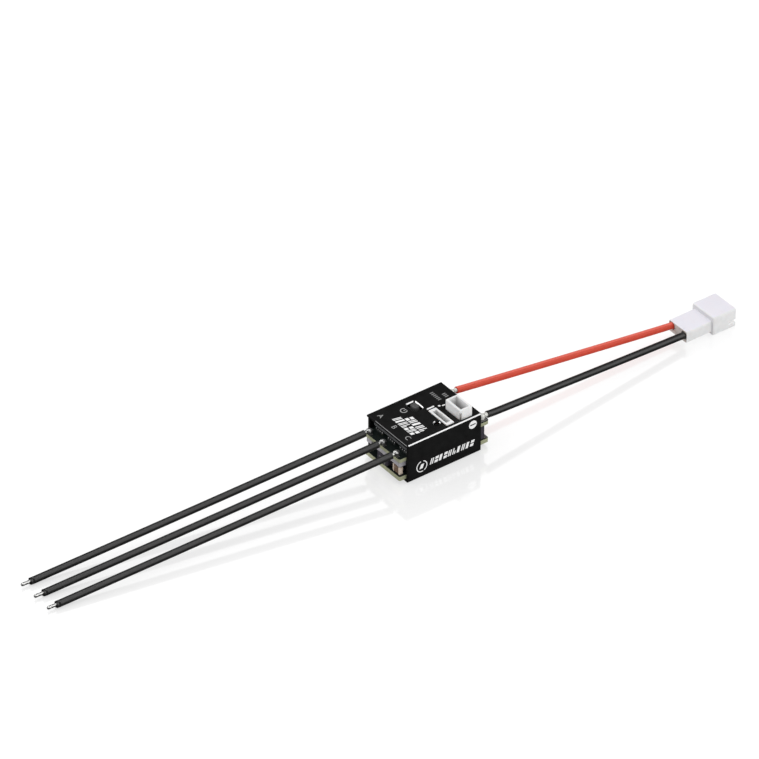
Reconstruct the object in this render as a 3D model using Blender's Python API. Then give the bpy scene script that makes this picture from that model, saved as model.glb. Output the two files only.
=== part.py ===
"""A small brushless motor controller for a model car.

Two stacked circuit boards sit under a folded aluminium cover that is open at both ends. Three bare-ended
motor leads are soldered on at the front, and two battery leads with a white plug at the rear. A power
button, a programming socket and a throttle socket reach up through the cover.

+X runs from the motor leads to the battery plug, +Z is up, and the origin is under the middle of the
boards on the surface that the controller stands on. Driving dimensions are in millimetres.
"""

import math

import bmesh
import bpy
from mathutils import Matrix, Vector

MM = 0.001
GAP = 0.04  # between pieces that touch on the real object

# Boards
BOARD_FRONT, BOARD_REAR = -13.25, 13.9
BOARD_WIDTH, BOARD_THICKNESS, BOARD_CORNER = 14.4, 1.2, 0.5
LOWER_BOARD_Z, UPPER_BOARD_Z = 0.95, 6.4
LOWER_DECK = LOWER_BOARD_Z + BOARD_THICKNESS
UPPER_DECK = UPPER_BOARD_Z + BOARD_THICKNESS
POST_PLACES, POST_RADIUS = ((-6.6, -6.6), (-6.6, 6.6), (12.4, -1.6), (12.4, 1.6)), 0.3

# Cover
COVER_FRONT, COVER_REAR, COVER_WIDTH, COVER_HEIGHT = -11.7, 10.7, 16.4, 11.4
COVER_WALL, COVER_TOP, COVER_CHAMFER = 0.8, 0.7, 0.25
WALL_SETBACK = 0.4  # of the side walls' front ends, behind the top plate's
LIP_REACH, LIP_HEIGHT, LIP_CORNER = 1.8, 0.7, 0.6
COVER_CEILING = COVER_HEIGHT - COVER_TOP

# Windows in the cover's top, as low x, high x, low y and high y: the mouth, and the throat below its chamfer
BUTTON_WINDOW = (-1.95, 1.05, 1.85, 5.9), (-1.7, 0.8, 2.1, 5.65)
PROGRAM_WINDOW = (0.95, 3.85, -7.25, 1.3), (1.07, 3.8, -7.2, 1.05)
THROTTLE_WINDOW = (4.85, 8.85, -7.5, -1.2), (4.9, 8.8, -7.45, -1.25)
WINDOW_CORNER, WINDOW_CHAMFER = 0.5, 0.25
LED_HOLE, LED_HOLE_RADIUS, LED_HOLE_CHAMFER = (-0.27, -4.85), 0.75, 0.2
CUT_MARGIN = 0.5  # how far a cutter reaches past the material that it takes away

# Power switch
BUTTON_CENTRE = (-0.27, 4.0)
BUTTON_SIZE = (1.6, 1.9)
BUTTON_TOP = 11.55
BUTTON_TRAVEL = 0.25
SWITCH_SIZE = (3.3, 4.4)
SWITCH_TOP = 9.9
SWITCH_FLOOR = 8.0
SWITCH_SPARE = 0.1  # left under the button when it is pressed
SWITCH_CLEARANCE, SWITCH_CORNER = 0.12, 0.25
BUTTON_CORNER, BUTTON_BEVEL = 0.2, 0.12

# Sockets
PROGRAM_CENTRE, PROGRAM_SIZE, PROGRAM_TOP = (2.3, -3.3), (2.3, 7.5), 11.45
PROGRAM_RIM, PROGRAM_FLOOR, PROGRAM_CORNER = (0.5, 0.95), 9.0, 0.12
PROGRAM_PITCH, PROGRAM_CONTACTS = 1.0, 6
CONTACT_SIZE, CONTACT_TOP = (0.5, 0.32), 10.8
THROTTLE_CENTRE, THROTTLE_SIZE, THROTTLE_TOP = (6.85, -4.3), (3.6, 6.0), 14.1
THROTTLE_RIM, THROTTLE_FLOOR, THROTTLE_CORNER = 0.55, 9.6, 0.15
THROTTLE_NOTCH, THROTTLE_NOTCH_TOP = 0.4, 13.3
THROTTLE_PITCH, THROTTLE_PINS = 1.5, 3
PIN_SIZE, PIN_TOP = 0.5, 12.6

# Transistors: their size, and their places on each board
TRANSISTOR_SIZE = (3.3, 3.3, 0.9)
UPPER_TRANSISTORS = ((-8.75, 4.9), (-8.75, 0.0), (-8.75, -4.9))
LOWER_TRANSISTORS = ((-8.75, 4.9), (-4.0, 0.0), (-8.75, -4.9))
PAD_X, PAD_WIDTH = (-10.6, -6.9), 13.4  # the cooling pad on the upper ones

# Other components: name, place, size, deck that they stand on, and edge bevel
CHIPS = (
    ("microcontroller", (-4.5, -2.0), (4.0, 4.0, 0.85), UPPER_DECK, 0.08),
    ("gate_driver", (-4.0, -4.8), (4.0, 4.0, 0.85), LOWER_DECK, 0.08),
    ("bec_regulator", (1.5, 4.4), (5.0, 4.0, 1.5), LOWER_DECK, 0.1),
)
INDUCTOR = (-3.6, 4.6), (4.0, 4.0, 3.0), LOWER_DECK
SHUNT = (1.6, -2.4), (3.2, 6.3, 0.6), LOWER_DECK
RESONATOR = (-4.5, 2.6), (3.2, 1.3, 0.9), UPPER_DECK
POLYMERS = (
    ("polymer_capacitor_1", (-9.5, 0.0), (7.3, 4.3, 2.5)),
    ("polymer_capacitor_2", (9.15, -4.9), (7.3, 4.3, UPPER_BOARD_Z - LOWER_DECK - 2 * GAP)),
)
STANDING_CERAMIC_PLACE, STANDING_CERAMIC_SIZE = (-12.22, -5.15), (1.05, 2.9, 2.1)
# Under the upper board's front edge: low y and high y
HANGING_CERAMICS = (
    ("ceramic_capacitor_2", 4.6, 6.6),
    ("ceramic_capacitor_3", -6.8, -2.4),
    ("ceramic_capacitor_4", -2.2, 2.5),
)
HANGING_X, HANGING_DROP = (-12.95, -10.9), 1.7
LED_SIZE = (1.6, 0.8, 0.6)

# Leads
LEAD_DIAMETER = 1.8
LEAD_NAMES = ("a", "b", "c")
LEAD_PITCH = 5.5
MOTOR_EXIT_X, MOTOR_EXIT_Z = -14.35, 8.43
# The way of a motor lead from its exit: x and y from there, and z above the floor
MOTOR_ROUTE = (
    (0.0, 0.0, 8.36),
    (-3.0, 0.27, 8.06),
    (-23.2, 2.06, 6.33),
    (-46.3, 4.09, 4.42),
    (-69.5, 6.1, 2.6),
    (-89.6, 7.83, 1.06),
    (-92.4, 8.06, 0.92),
)
MOTOR_ROUTE_POINTS = 26
TIP_DIAMETER, TIP_LENGTH, TIP_END = 0.9, 2.4, 0.15
# Solder joints: radius and distance from the joint's front end
MOTOR_JOINT = ((0.55, 0.0), (0.72, 0.25), (0.79, 0.8), (0.79, 1.5), (0.6, 2.1), (0.0, 2.4))
BATTERY_JOINT = ((0.0, -2.3), (0.45, -2.1), (0.7, -1.4), (0.75, -0.7), (0.7, -0.25), (0.6, 0.0))
BATTERY_PAD_Y = 6.2
BATTERY_EXIT_X, BATTERY_EXIT_Z = 14.05, 8.6
# The ways of the battery leads: x, y and z from the controller to inside the plug
POSITIVE_ROUTE = (
    (14.05, 6.2, 8.5),
    (17.0, 6.0, 8.2),
    (30.4, 5.07, 7.0),
    (46.8, 3.93, 5.58),
    (63.2, 2.82, 4.15),
    (76.5, 1.95, 3.04),
    (79.6, 1.8, 2.88),
)
NEGATIVE_ROUTE = (
    (14.05, -6.2, 8.5),
    (17.0, -6.1, 8.17),
    (30.4, -5.4, 6.95),
    (46.8, -4.55, 5.43),
    (63.2, -3.7, 3.97),
    (76.5, -3.05, 2.86),
    (79.6, -2.92, 2.7),
)
BATTERY_ROUTE_POINTS = 22

# Battery plug
PLUG_Y, PLUG_REAR, PLUG_STEP, PLUG_FRONT = -0.53, 78.4, 86.4, 93.6
PLUG_REAR_SIZE, PLUG_REAR_Z = (7.2, 3.35), 0.8
PLUG_FRONT_SIZE = (8.6, 5.5)
PLUG_ENTRY_SIZE, PLUG_ENTRY_DEPTH = 2.05, 1.5
PLUG_WALL, PLUG_CAVITY_DEPTH = 1.1, 5.6
GROOVE_LENGTH, GROOVE_DEPTH, GROOVE_Z, GROOVE_HEIGHT = 2.2, 0.7, 1.35, 0.95  # one in each side
PLUG_CORNER = 0.35
PLUG_PIN_SPREAD, PLUG_PIN_RADIUS, PLUG_PIN_LENGTH = 4.45, 0.5, 4.2
PLUG_PIN_END = (0.25, 0.4)  # radius of the pin's tip, and length of its taper

# Turns an upright prism to lie along X, with its outline's x along Y and its y along Z
ALONG_X = Matrix(((0, 0, 1, 0), (1, 0, 0, 0), (0, 1, 0, 0), (0, 0, 0, 1)))


def clear_scene():
    for old in list(bpy.data.objects):
        bpy.data.objects.remove(old)


def paint(name, colour, roughness, metallic=0.0):
    material = bpy.data.materials.new(name)
    material.use_nodes = True
    shader = material.node_tree.nodes["Principled BSDF"]
    shader.inputs["Base Color"].default_value = (*colour, 1.0)
    shader.inputs["Roughness"].default_value = roughness
    shader.inputs["Metallic"].default_value = metallic
    material.diffuse_color = (*colour, 1.0)
    return material


def place(name, data, material, at=(0.0, 0.0, 0.0)):
    """An object in the scene whose origin is at a point given in millimetres."""
    data.materials.append(material)
    item = bpy.data.objects.new(name, data)
    item.location = Vector(at) * MM
    bpy.context.scene.collection.objects.link(item)
    return item


def mesh_from(shape, name, smooth_under=None):
    """A mesh in metres from a bmesh in millimetres, smooth where its faces meet under an angle."""
    bmesh.ops.recalc_face_normals(shape, faces=shape.faces)
    bmesh.ops.scale(shape, vec=(MM, MM, MM), verts=shape.verts)
    data = bpy.data.meshes.new(name)
    shape.to_mesh(data)
    shape.free()
    if smooth_under is not None:
        data.shade_smooth()
        data.set_sharp_from_angle(angle=math.radians(smooth_under))
    return data


def extruded(outline, depth, turn=None):
    """A prism: an outline of (x, y) points raised along Z by depth, then turned."""
    shape = bmesh.new()
    corners = [shape.verts.new((x, y, 0.0)) for x, y in outline]
    base = shape.faces.new(corners)
    raised = bmesh.ops.extrude_face_region(shape, geom=[base])
    top = [item for item in raised["geom"] if isinstance(item, bmesh.types.BMVert)]
    bmesh.ops.translate(shape, vec=(0.0, 0.0, depth), verts=top)
    if turn is not None:
        bmesh.ops.transform(shape, matrix=turn, verts=shape.verts)
    return shape


def rounded_rectangle(x_size, y_size, radius, steps=3):
    """Corner points of a rectangle about the origin, with each corner an arc."""
    points = []
    for quarter in range(4):
        across = x_size / 2 - radius if quarter in (0, 3) else radius - x_size / 2
        along = y_size / 2 - radius if quarter in (0, 1) else radius - y_size / 2
        for step in range(steps + 1):
            angle = math.pi / 2 * (quarter + step / steps)
            points.append((across + radius * math.cos(angle), along + radius * math.sin(angle)))
    return points


def block(size, bevel=0.0):
    """A box about the origin with its edges bevelled."""
    shape = bmesh.new()
    bmesh.ops.create_cube(shape, size=1.0)
    bmesh.ops.scale(shape, vec=size, verts=shape.verts)
    if bevel:
        bmesh.ops.bevel(shape, geom=list(shape.edges), offset=bevel, segments=1, affect="EDGES")
    return shape


def turned(profile, sides):
    """A solid of revolution about Z from (radius, height) points, with a pole where the radius is 0."""
    shape = bmesh.new()
    rings = []
    for radius, height in profile:
        if radius == 0:
            rings.append([shape.verts.new((0.0, 0.0, height))])
            continue
        turns = [2 * math.pi * side / sides for side in range(sides)]
        rings.append([shape.verts.new((radius * math.cos(t), radius * math.sin(t), height)) for t in turns])
    for lower, upper in zip(rings, rings[1:]):
        for side in range(sides):
            after = (side + 1) % sides
            if len(lower) == 1:
                shape.faces.new((lower[0], upper[after], upper[side]))
            elif len(upper) == 1:
                shape.faces.new((lower[side], lower[after], upper[0]))
            else:
                shape.faces.new((lower[side], lower[after], upper[after], upper[side]))
    for ring in (rings[0], rings[-1]):
        if len(ring) > 1:
            shape.faces.new(ring)
    return shape


def combine(item, shape, at, operation):
    """Cuts a shape, placed at a point, out of an object, or joins it on."""
    name = f"{item.name}_{operation.lower()}_tool"
    tool = bpy.data.objects.new(name, mesh_from(shape, name))
    tool.location = Vector(at) * MM
    tool.hide_render = True
    tool.display_type = "WIRE"
    bpy.context.scene.collection.objects.link(tool)
    modifier = item.modifiers.new(operation.lower(), "BOOLEAN")
    modifier.operation = operation
    modifier.solver = "EXACT"
    modifier.object = tool


def cut(item, shape, at):
    combine(item, shape, at, "DIFFERENCE")


def box_between(name, low, high, material, bevel=0.1):
    """A bevelled box from its lowest to its highest corner, with its origin at its middle."""
    size = [top - bottom for bottom, top in zip(low, high)]
    middle = [(top + bottom) / 2 for bottom, top in zip(low, high)]
    return place(name, mesh_from(block(size, bevel), name), material, middle)


def on_deck(name, centre, size, deck, material, bevel=0.1):
    """A component of a given size standing on a board."""
    x, y = centre
    length, width, height = size
    low = (x - length / 2, y - width / 2, deck + GAP)
    high = (x + length / 2, y + width / 2, deck + GAP + height)
    return box_between(name, low, high, material, bevel)


def smooth_route(route, count):
    """Points spread along a Catmull-Rom curve through the route's own points."""
    knots = [Vector(point) for point in route]
    knots = [2 * knots[0] - knots[1], *knots, 2 * knots[-1] - knots[-2]]
    spans = len(route) - 1
    points = []
    for index in range(count):
        along = index * spans / (count - 1)
        span = min(int(along), spans - 1)
        t = along - span
        before, start, end, after = knots[span : span + 4]
        bend = 2 * before - 5 * start + 4 * end - after
        twist = 3 * start - before - 3 * end + after
        points.append(start + 0.5 * (t * (end - before) + t * t * bend + t**3 * twist))
    return points


def tube(name, points, diameter, material):
    """A round lead along points given in millimetres."""
    curve = bpy.data.curves.new(name, "CURVE")
    curve.dimensions = "3D"
    curve.bevel_depth = diameter / 2 * MM
    curve.bevel_resolution = 2
    curve.use_fill_caps = True
    spline = curve.splines.new("POLY")
    spline.points.add(len(points) - 1)
    for knot, point in zip(spline.points, points):
        knot.co = (*(point * MM), 1.0)
    return place(name, curve, material)


def window(item, edges, radius, low, high):
    """Cuts an upright opening with rounded corners."""
    x_low, x_high, y_low, y_high = edges
    outline = rounded_rectangle(x_high - x_low, y_high - y_low, radius)
    cut(item, extruded(outline, high - low), ((x_low + x_high) / 2, (y_low + y_high) / 2, low))


def funnel(throat, mouth, levels):
    """A solid that is as wide as the throat at the first two levels and as the mouth at the last two."""
    shape = bmesh.new()
    rings = []
    for (x_low, x_high, y_low, y_high), level in zip((throat, throat, mouth, mouth), levels):
        outline = rounded_rectangle(x_high - x_low, y_high - y_low, WINDOW_CORNER)
        x, y = (x_low + x_high) / 2, (y_low + y_high) / 2
        rings.append([shape.verts.new((x + across, y + along, level)) for across, along in outline])
    for lower, upper in zip(rings, rings[1:]):
        for index, vertex in enumerate(lower):
            after = (index + 1) % len(lower)
            shape.faces.new((vertex, lower[after], upper[after], upper[index]))
    shape.faces.new(rings[0])
    shape.faces.new(rings[-1])
    return shape


def make_cover(material):
    half, top = COVER_WIDTH / 2, COVER_HEIGHT
    right = [
        (half - LIP_REACH, 0.0),
        (half, 0.0),
        (half, top - COVER_CHAMFER),
        (half - COVER_CHAMFER, top),
    ]
    inside = [
        (half - COVER_WALL, COVER_CEILING),
        (half - COVER_WALL, LIP_HEIGHT),
        (half - LIP_REACH, LIP_HEIGHT),
    ]
    outline = right + [(-y, z) for y, z in reversed(right)]
    outline += [(-y, z) for y, z in reversed(inside)] + inside
    shape = extruded(outline, COVER_REAR - COVER_FRONT, ALONG_X)
    feet = [edge for edge in shape.edges if is_lip_end(edge)]
    bmesh.ops.bevel(shape, geom=feet, offset=LIP_CORNER, segments=4, profile=0.5, affect="EDGES")
    cover = place("cover_shell", mesh_from(shape, "cover_shell", 30), material, (COVER_FRONT, 0, 0))
    setback = (2 * WALL_SETBACK, COVER_WIDTH + 2 * CUT_MARGIN, COVER_CEILING + CUT_MARGIN)
    cut(cover, block(setback), (COVER_FRONT, 0.0, COVER_CEILING - setback[2] / 2))
    below, above = COVER_CEILING - CUT_MARGIN, COVER_HEIGHT + CUT_MARGIN
    levels = (below, COVER_HEIGHT - WINDOW_CHAMFER, COVER_HEIGHT, above)
    for mouth, throat in (BUTTON_WINDOW, PROGRAM_WINDOW, THROTTLE_WINDOW):
        cut(cover, funnel(throat, mouth, levels), (0.0, 0.0, 0.0))
    wide = LED_HOLE_RADIUS + LED_HOLE_CHAMFER
    profile = [
        (LED_HOLE_RADIUS, below),
        (LED_HOLE_RADIUS, COVER_HEIGHT - LED_HOLE_CHAMFER),
        (wide, COVER_HEIGHT),
        (wide, above),
    ]
    cut(cover, turned(profile, 20), (*LED_HOLE, 0.0))


def is_lip_end(edge):
    """Whether an edge of the cover is the bottom edge of a side wall's front or rear end."""
    ends = [vertex.co for vertex in edge.verts]
    level = all(abs(end.z) < 1e-6 for end in ends)
    return level and abs(ends[0].x - ends[1].x) < 1e-6


def make_boards(material):
    outline = rounded_rectangle(BOARD_REAR - BOARD_FRONT, BOARD_WIDTH, BOARD_CORNER)
    for name, low in (("lower_board", LOWER_BOARD_Z), ("upper_board", UPPER_BOARD_Z)):
        data = mesh_from(extruded(outline, BOARD_THICKNESS), name, 35)
        place(name, data, material, ((BOARD_FRONT + BOARD_REAR) / 2, 0, low))


def make_board_pins(material):
    """Four posts that join the two boards."""
    length = UPPER_BOARD_Z - LOWER_DECK - 2 * GAP
    for number, spot in enumerate(POST_PLACES, 1):
        name = f"interboard_pin_{number}"
        data = mesh_from(turned([(POST_RADIUS, 0.0), (POST_RADIUS, length)], 10), name, 40)
        place(name, data, material, (*spot, LOWER_DECK + GAP))


def make_power_stage(black, pad):
    """Six transistors, three under the cover and three between the boards, with their cooling pad."""
    decks = [(spot, UPPER_DECK) for spot in UPPER_TRANSISTORS]
    decks += [(spot, LOWER_DECK) for spot in LOWER_TRANSISTORS]
    for number, (centre, deck) in enumerate(decks, 1):
        on_deck(f"mosfet_{number}", centre, TRANSISTOR_SIZE, deck, black)
    low = (PAD_X[0], -PAD_WIDTH / 2, UPPER_DECK + TRANSISTOR_SIZE[2] + 2 * GAP)
    box_between("thermal_pad", low, (PAD_X[1], PAD_WIDTH / 2, COVER_CEILING - GAP), pad, 0.15)


def make_capacitors(black, tan, grey):
    for name, centre, size in POLYMERS:
        on_deck(name, centre, size, LOWER_DECK, black, 0.15)
    on_deck("ceramic_capacitor_1", STANDING_CERAMIC_PLACE, STANDING_CERAMIC_SIZE, LOWER_DECK, tan)
    for name, y_low, y_high in HANGING_CERAMICS:
        low = (HANGING_X[0], y_low, UPPER_BOARD_Z - HANGING_DROP)
        box_between(name, low, (HANGING_X[1], y_high, UPPER_BOARD_Z - GAP), grey)


def make_others(alloy, crystal, shunt, lens):
    """Coil, resonator, shunt and status lamp."""
    on_deck("bec_inductor", *INDUCTOR, alloy, 0.3)
    on_deck("shunt_resistor", *SHUNT, shunt, 0.06)
    on_deck("resonator", *RESONATOR, crystal, 0.08)
    on_deck("status_led", LED_HOLE, LED_SIZE, UPPER_DECK, lens, 0.08)


def make_switch(body_material, button_material):
    x, y = BUTTON_CENTRE
    size = (*SWITCH_SIZE, SWITCH_TOP - UPPER_DECK - GAP)
    body = on_deck("power_switch_body", BUTTON_CENTRE, size, UPPER_DECK, body_material, 0.15)
    wide, deep = (size + 2 * SWITCH_CLEARANCE for size in BUTTON_SIZE)
    edges = (x - wide / 2, x + wide / 2, y - deep / 2, y + deep / 2)
    window(body, edges, SWITCH_CORNER, SWITCH_FLOOR, SWITCH_TOP + CUT_MARGIN)
    bottom = SWITCH_FLOOR + BUTTON_TRAVEL + SWITCH_SPARE
    outline = rounded_rectangle(*BUTTON_SIZE, BUTTON_CORNER)
    shape = extruded(outline, BUTTON_TOP - bottom)
    rim = [edge for edge in shape.edges if min(end.co.z for end in edge.verts) > 0.0]
    bmesh.ops.bevel(shape, geom=rim, offset=BUTTON_BEVEL, segments=2, profile=0.5, affect="EDGES")
    place("power_button", mesh_from(shape, "power_button", 35), button_material, (x, y, bottom))


def make_program_socket(white, metal):
    x, y = PROGRAM_CENTRE
    wide, deep = PROGRAM_SIZE
    height = PROGRAM_TOP - UPPER_DECK - GAP
    socket = on_deck("program_socket", PROGRAM_CENTRE, (wide, deep, height), UPPER_DECK, white, 0.12)
    half, reach = wide / 2 - PROGRAM_RIM[0], deep / 2 - PROGRAM_RIM[1]
    edges = (x - half, x + half, y - reach, y + reach)
    window(socket, edges, PROGRAM_CORNER, PROGRAM_FLOOR, PROGRAM_TOP + CUT_MARGIN)
    for number in range(PROGRAM_CONTACTS):
        offset = (number - (PROGRAM_CONTACTS - 1) / 2) * PROGRAM_PITCH
        low = (x - CONTACT_SIZE[0] / 2, y + offset - CONTACT_SIZE[1] / 2, PROGRAM_FLOOR + GAP)
        high = (x + CONTACT_SIZE[0] / 2, y + offset + CONTACT_SIZE[1] / 2, CONTACT_TOP)
        box_between(f"program_contact_{number + 1}", low, high, metal, 0.06)


def make_throttle_socket(white, metal):
    x, y = THROTTLE_CENTRE
    wide, deep = THROTTLE_SIZE
    height = THROTTLE_TOP - UPPER_DECK - GAP
    socket = on_deck("throttle_socket", THROTTLE_CENTRE, (wide, deep, height), UPPER_DECK, white, 0.15)
    half, reach = wide / 2 - THROTTLE_RIM, deep / 2 - THROTTLE_RIM
    edges = (x - half, x + half, y - reach, y + reach)
    window(socket, edges, THROTTLE_CORNER, THROTTLE_FLOOR, THROTTLE_TOP + CUT_MARGIN)
    notch = 2 * THROTTLE_NOTCH
    corner = (x - wide / 2, y - deep / 2, (UPPER_BOARD_Z + THROTTLE_NOTCH_TOP) / 2)
    cut(socket, block((notch, notch, THROTTLE_NOTCH_TOP - UPPER_BOARD_Z)), corner)
    for number in range(THROTTLE_PINS):
        offset = (number - (THROTTLE_PINS - 1) / 2) * THROTTLE_PITCH
        low = (x - PIN_SIZE / 2, y + offset - PIN_SIZE / 2, THROTTLE_FLOOR + GAP)
        high = (x + PIN_SIZE / 2, y + offset + PIN_SIZE / 2, PIN_TOP)
        box_between(f"throttle_pin_{number + 1}", low, high, metal, 0.1)


def along_x(profile, sides):
    """A turned solid laid along +X."""
    shape = turned(profile, sides)
    bmesh.ops.rotate(shape, cent=(0, 0, 0), matrix=Matrix.Rotation(math.pi / 2, 3, "Y"), verts=shape.verts)
    return shape


def make_motor_leads(black, tin):
    for number, letter in enumerate(LEAD_NAMES):
        y = (1 - number) * LEAD_PITCH
        route = [(MOTOR_EXIT_X + dx, y + dy, z) for dx, dy, z in MOTOR_ROUTE]
        points = smooth_route(route, MOTOR_ROUTE_POINTS)
        tube(f"motor_lead_{letter}", points, LEAD_DIAMETER, black)
        name = f"solder_joint_{letter}"
        data = mesh_from(along_x(MOTOR_JOINT, 12), name, 60)
        place(name, data, tin, (MOTOR_EXIT_X + GAP, y, MOTOR_EXIT_Z))
        make_tip(f"lead_tip_{letter}", points, tin)


def make_tip(name, points, material):
    """A tinned stripped end that carries on straight from the end of a lead."""
    radius = TIP_DIAMETER / 2
    profile = [(radius, 0.0), (radius, TIP_LENGTH - TIP_END), (radius - TIP_END, TIP_LENGTH)]
    heading = (points[-1] - points[-2]).normalized()
    tip = place(name, mesh_from(turned(profile, 10), name, 50), material, points[-1] + GAP * heading)
    tip.rotation_euler = heading.to_track_quat("Z", "Y").to_euler()


def make_battery_leads(red, black, tin):
    ways = (
        ("positive", POSITIVE_ROUTE, BATTERY_PAD_Y, red),
        ("negative", NEGATIVE_ROUTE, -BATTERY_PAD_Y, black),
    )
    for name, route, y, material in ways:
        tube(f"battery_lead_{name}", smooth_route(route, BATTERY_ROUTE_POINTS), LEAD_DIAMETER, material)
        data = mesh_from(along_x(BATTERY_JOINT, 12), f"solder_joint_{name}", 60)
        place(f"solder_joint_{name}", data, tin, (BATTERY_EXIT_X - GAP, y, BATTERY_EXIT_Z))


def make_battery_plug(white, metal):
    """A narrow rear part that the leads enter, and a wide front part with two pins in its cavity."""
    front_width, front_height = PLUG_FRONT_SIZE
    rear_length = PLUG_STEP - PLUG_REAR + CUT_MARGIN
    rear = extruded(rounded_rectangle(*PLUG_REAR_SIZE, PLUG_CORNER, 2), rear_length, ALONG_X)
    front_length = PLUG_FRONT - PLUG_STEP
    front = extruded(rounded_rectangle(*PLUG_FRONT_SIZE, PLUG_CORNER, 2), front_length, ALONG_X)
    name = "battery_plug_housing"
    housing = place(name, mesh_from(front, name, 35), white, (PLUG_STEP, PLUG_Y, front_height / 2))
    combine(housing, rear, (PLUG_REAR, PLUG_Y, PLUG_REAR_Z + PLUG_REAR_SIZE[1] / 2), "UNION")
    end = PLUG_FRONT + CUT_MARGIN
    inner_width, inner_height = front_width - 2 * PLUG_WALL, front_height - 2 * PLUG_WALL
    cavity = (end - PLUG_FRONT + PLUG_CAVITY_DEPTH, inner_width, inner_height)
    cut(housing, block(cavity), (end - cavity[0] / 2, PLUG_Y, front_height / 2))
    groove = (end - PLUG_FRONT + GROOVE_LENGTH, 2 * GROOVE_DEPTH, GROOVE_HEIGHT)
    for side in (-1, 1):
        at = (end - groove[0] / 2, PLUG_Y + side * front_width / 2, GROOVE_Z + GROOVE_HEIGHT / 2)
        cut(housing, block(groove), at)
    entry = (PLUG_ENTRY_DEPTH + CUT_MARGIN, PLUG_ENTRY_SIZE, PLUG_ENTRY_SIZE)
    for route in (POSITIVE_ROUTE, NEGATIVE_ROUTE):
        y, z = route[-1][1:]
        cut(housing, block(entry), (PLUG_REAR - CUT_MARGIN + entry[0] / 2, y, z))
    end_radius, taper = PLUG_PIN_END
    pin = [(PLUG_PIN_RADIUS, 0.0), (PLUG_PIN_RADIUS, PLUG_PIN_LENGTH - taper), (end_radius, PLUG_PIN_LENGTH)]
    for number, side in enumerate((1, -1), 1):
        name = f"battery_plug_pin_{number}"
        at = (PLUG_FRONT - PLUG_CAVITY_DEPTH + GAP, PLUG_Y + side * PLUG_PIN_SPREAD / 2, front_height / 2)
        place(name, mesh_from(along_x(pin, 12), name, 50), metal, at)


def main():
    clear_scene()
    white = paint("off_white_nylon", (0.82, 0.81, 0.79), 0.45)
    black_part = paint("black_epoxy", (0.03, 0.03, 0.035), 0.5)
    tin = paint("solder", (0.75, 0.75, 0.74), 0.25, 1.0)
    nickel = paint("nickel_contact", (0.68, 0.67, 0.64), 0.3, 1.0)
    black_lead = paint("black_silicone", (0.02, 0.02, 0.02), 0.55)
    red_lead = paint("red_silicone", (0.66, 0.06, 0.035), 0.55)
    make_cover(paint("black_aluminium", (0.01, 0.01, 0.01), 0.55, 0.3))
    make_boards(paint("circuit_board", (0.37, 0.38, 0.24), 0.5))
    make_board_pins(tin)
    make_power_stage(black_part, paint("thermal_pad", (0.1, 0.105, 0.11), 0.8))
    for name, centre, size, deck, bevel in CHIPS:
        on_deck(name, centre, size, deck, black_part, bevel)
    make_capacitors(
        black_part,
        paint("ceramic_tan", (0.55, 0.45, 0.35), 0.5),
        paint("ceramic_grey", (0.5, 0.5, 0.5), 0.5),
    )
    make_others(
        paint("inductor_alloy", (0.16, 0.16, 0.16), 0.5, 0.3),
        paint("resonator_can", (0.7, 0.7, 0.72), 0.3, 1.0),
        paint("shunt_metal", (0.3, 0.27, 0.23), 0.45, 0.8),
        paint("led_lens", (0.85, 0.85, 0.75), 0.2),
    )
    make_switch(
        paint("switch_black", (0.015, 0.015, 0.015), 0.5),
        paint("button_grey", (0.1, 0.1, 0.1), 0.5),
    )
    make_program_socket(white, nickel)
    make_throttle_socket(white, nickel)
    make_motor_leads(black_lead, tin)
    make_battery_leads(red_lead, black_lead, tin)
    make_battery_plug(paint("plug_nylon", (0.84, 0.83, 0.87), 0.4), tin)


main()
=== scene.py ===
"""The looks of a small brushless motor controller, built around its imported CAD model.

Everything is in the model's own frame: +X runs from the motor leads to the battery plug, +Z is up, and the
controller stands on Z = 0. Shapes are worked out in millimetres, and become metres as their meshes are made.
"""

import math
import random

import bmesh
import bpy
from mathutils import Matrix, Vector, noise


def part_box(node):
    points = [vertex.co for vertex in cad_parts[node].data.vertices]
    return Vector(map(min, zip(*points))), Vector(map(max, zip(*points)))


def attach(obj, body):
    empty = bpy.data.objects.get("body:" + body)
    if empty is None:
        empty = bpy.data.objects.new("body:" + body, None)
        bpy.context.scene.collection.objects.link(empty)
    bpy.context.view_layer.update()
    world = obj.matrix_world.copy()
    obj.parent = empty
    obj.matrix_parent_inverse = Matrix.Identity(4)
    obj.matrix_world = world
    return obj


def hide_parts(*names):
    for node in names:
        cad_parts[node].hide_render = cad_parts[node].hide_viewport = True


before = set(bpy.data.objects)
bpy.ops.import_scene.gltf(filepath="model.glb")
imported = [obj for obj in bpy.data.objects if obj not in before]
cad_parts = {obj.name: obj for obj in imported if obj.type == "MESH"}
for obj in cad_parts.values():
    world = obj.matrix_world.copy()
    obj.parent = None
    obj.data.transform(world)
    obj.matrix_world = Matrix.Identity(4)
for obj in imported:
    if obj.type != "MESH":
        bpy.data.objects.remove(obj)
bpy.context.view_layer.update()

MM = 0.001
BODY, BUTTON_BODY = "controller", "power_button"
random.seed(28)

# Camera: degrees, millimetres, and the aim's place to the right of and above the frame's origin
CAMERA_AZIMUTH, CAMERA_ELEVATION = -36.508, 36.338
CAMERA_DISTANCE, CAMERA_AIM = 1463.4, (-11.195, 17.346)
CAMERA_LENS, CAMERA_SENSOR = 284.58, 36.0

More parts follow.
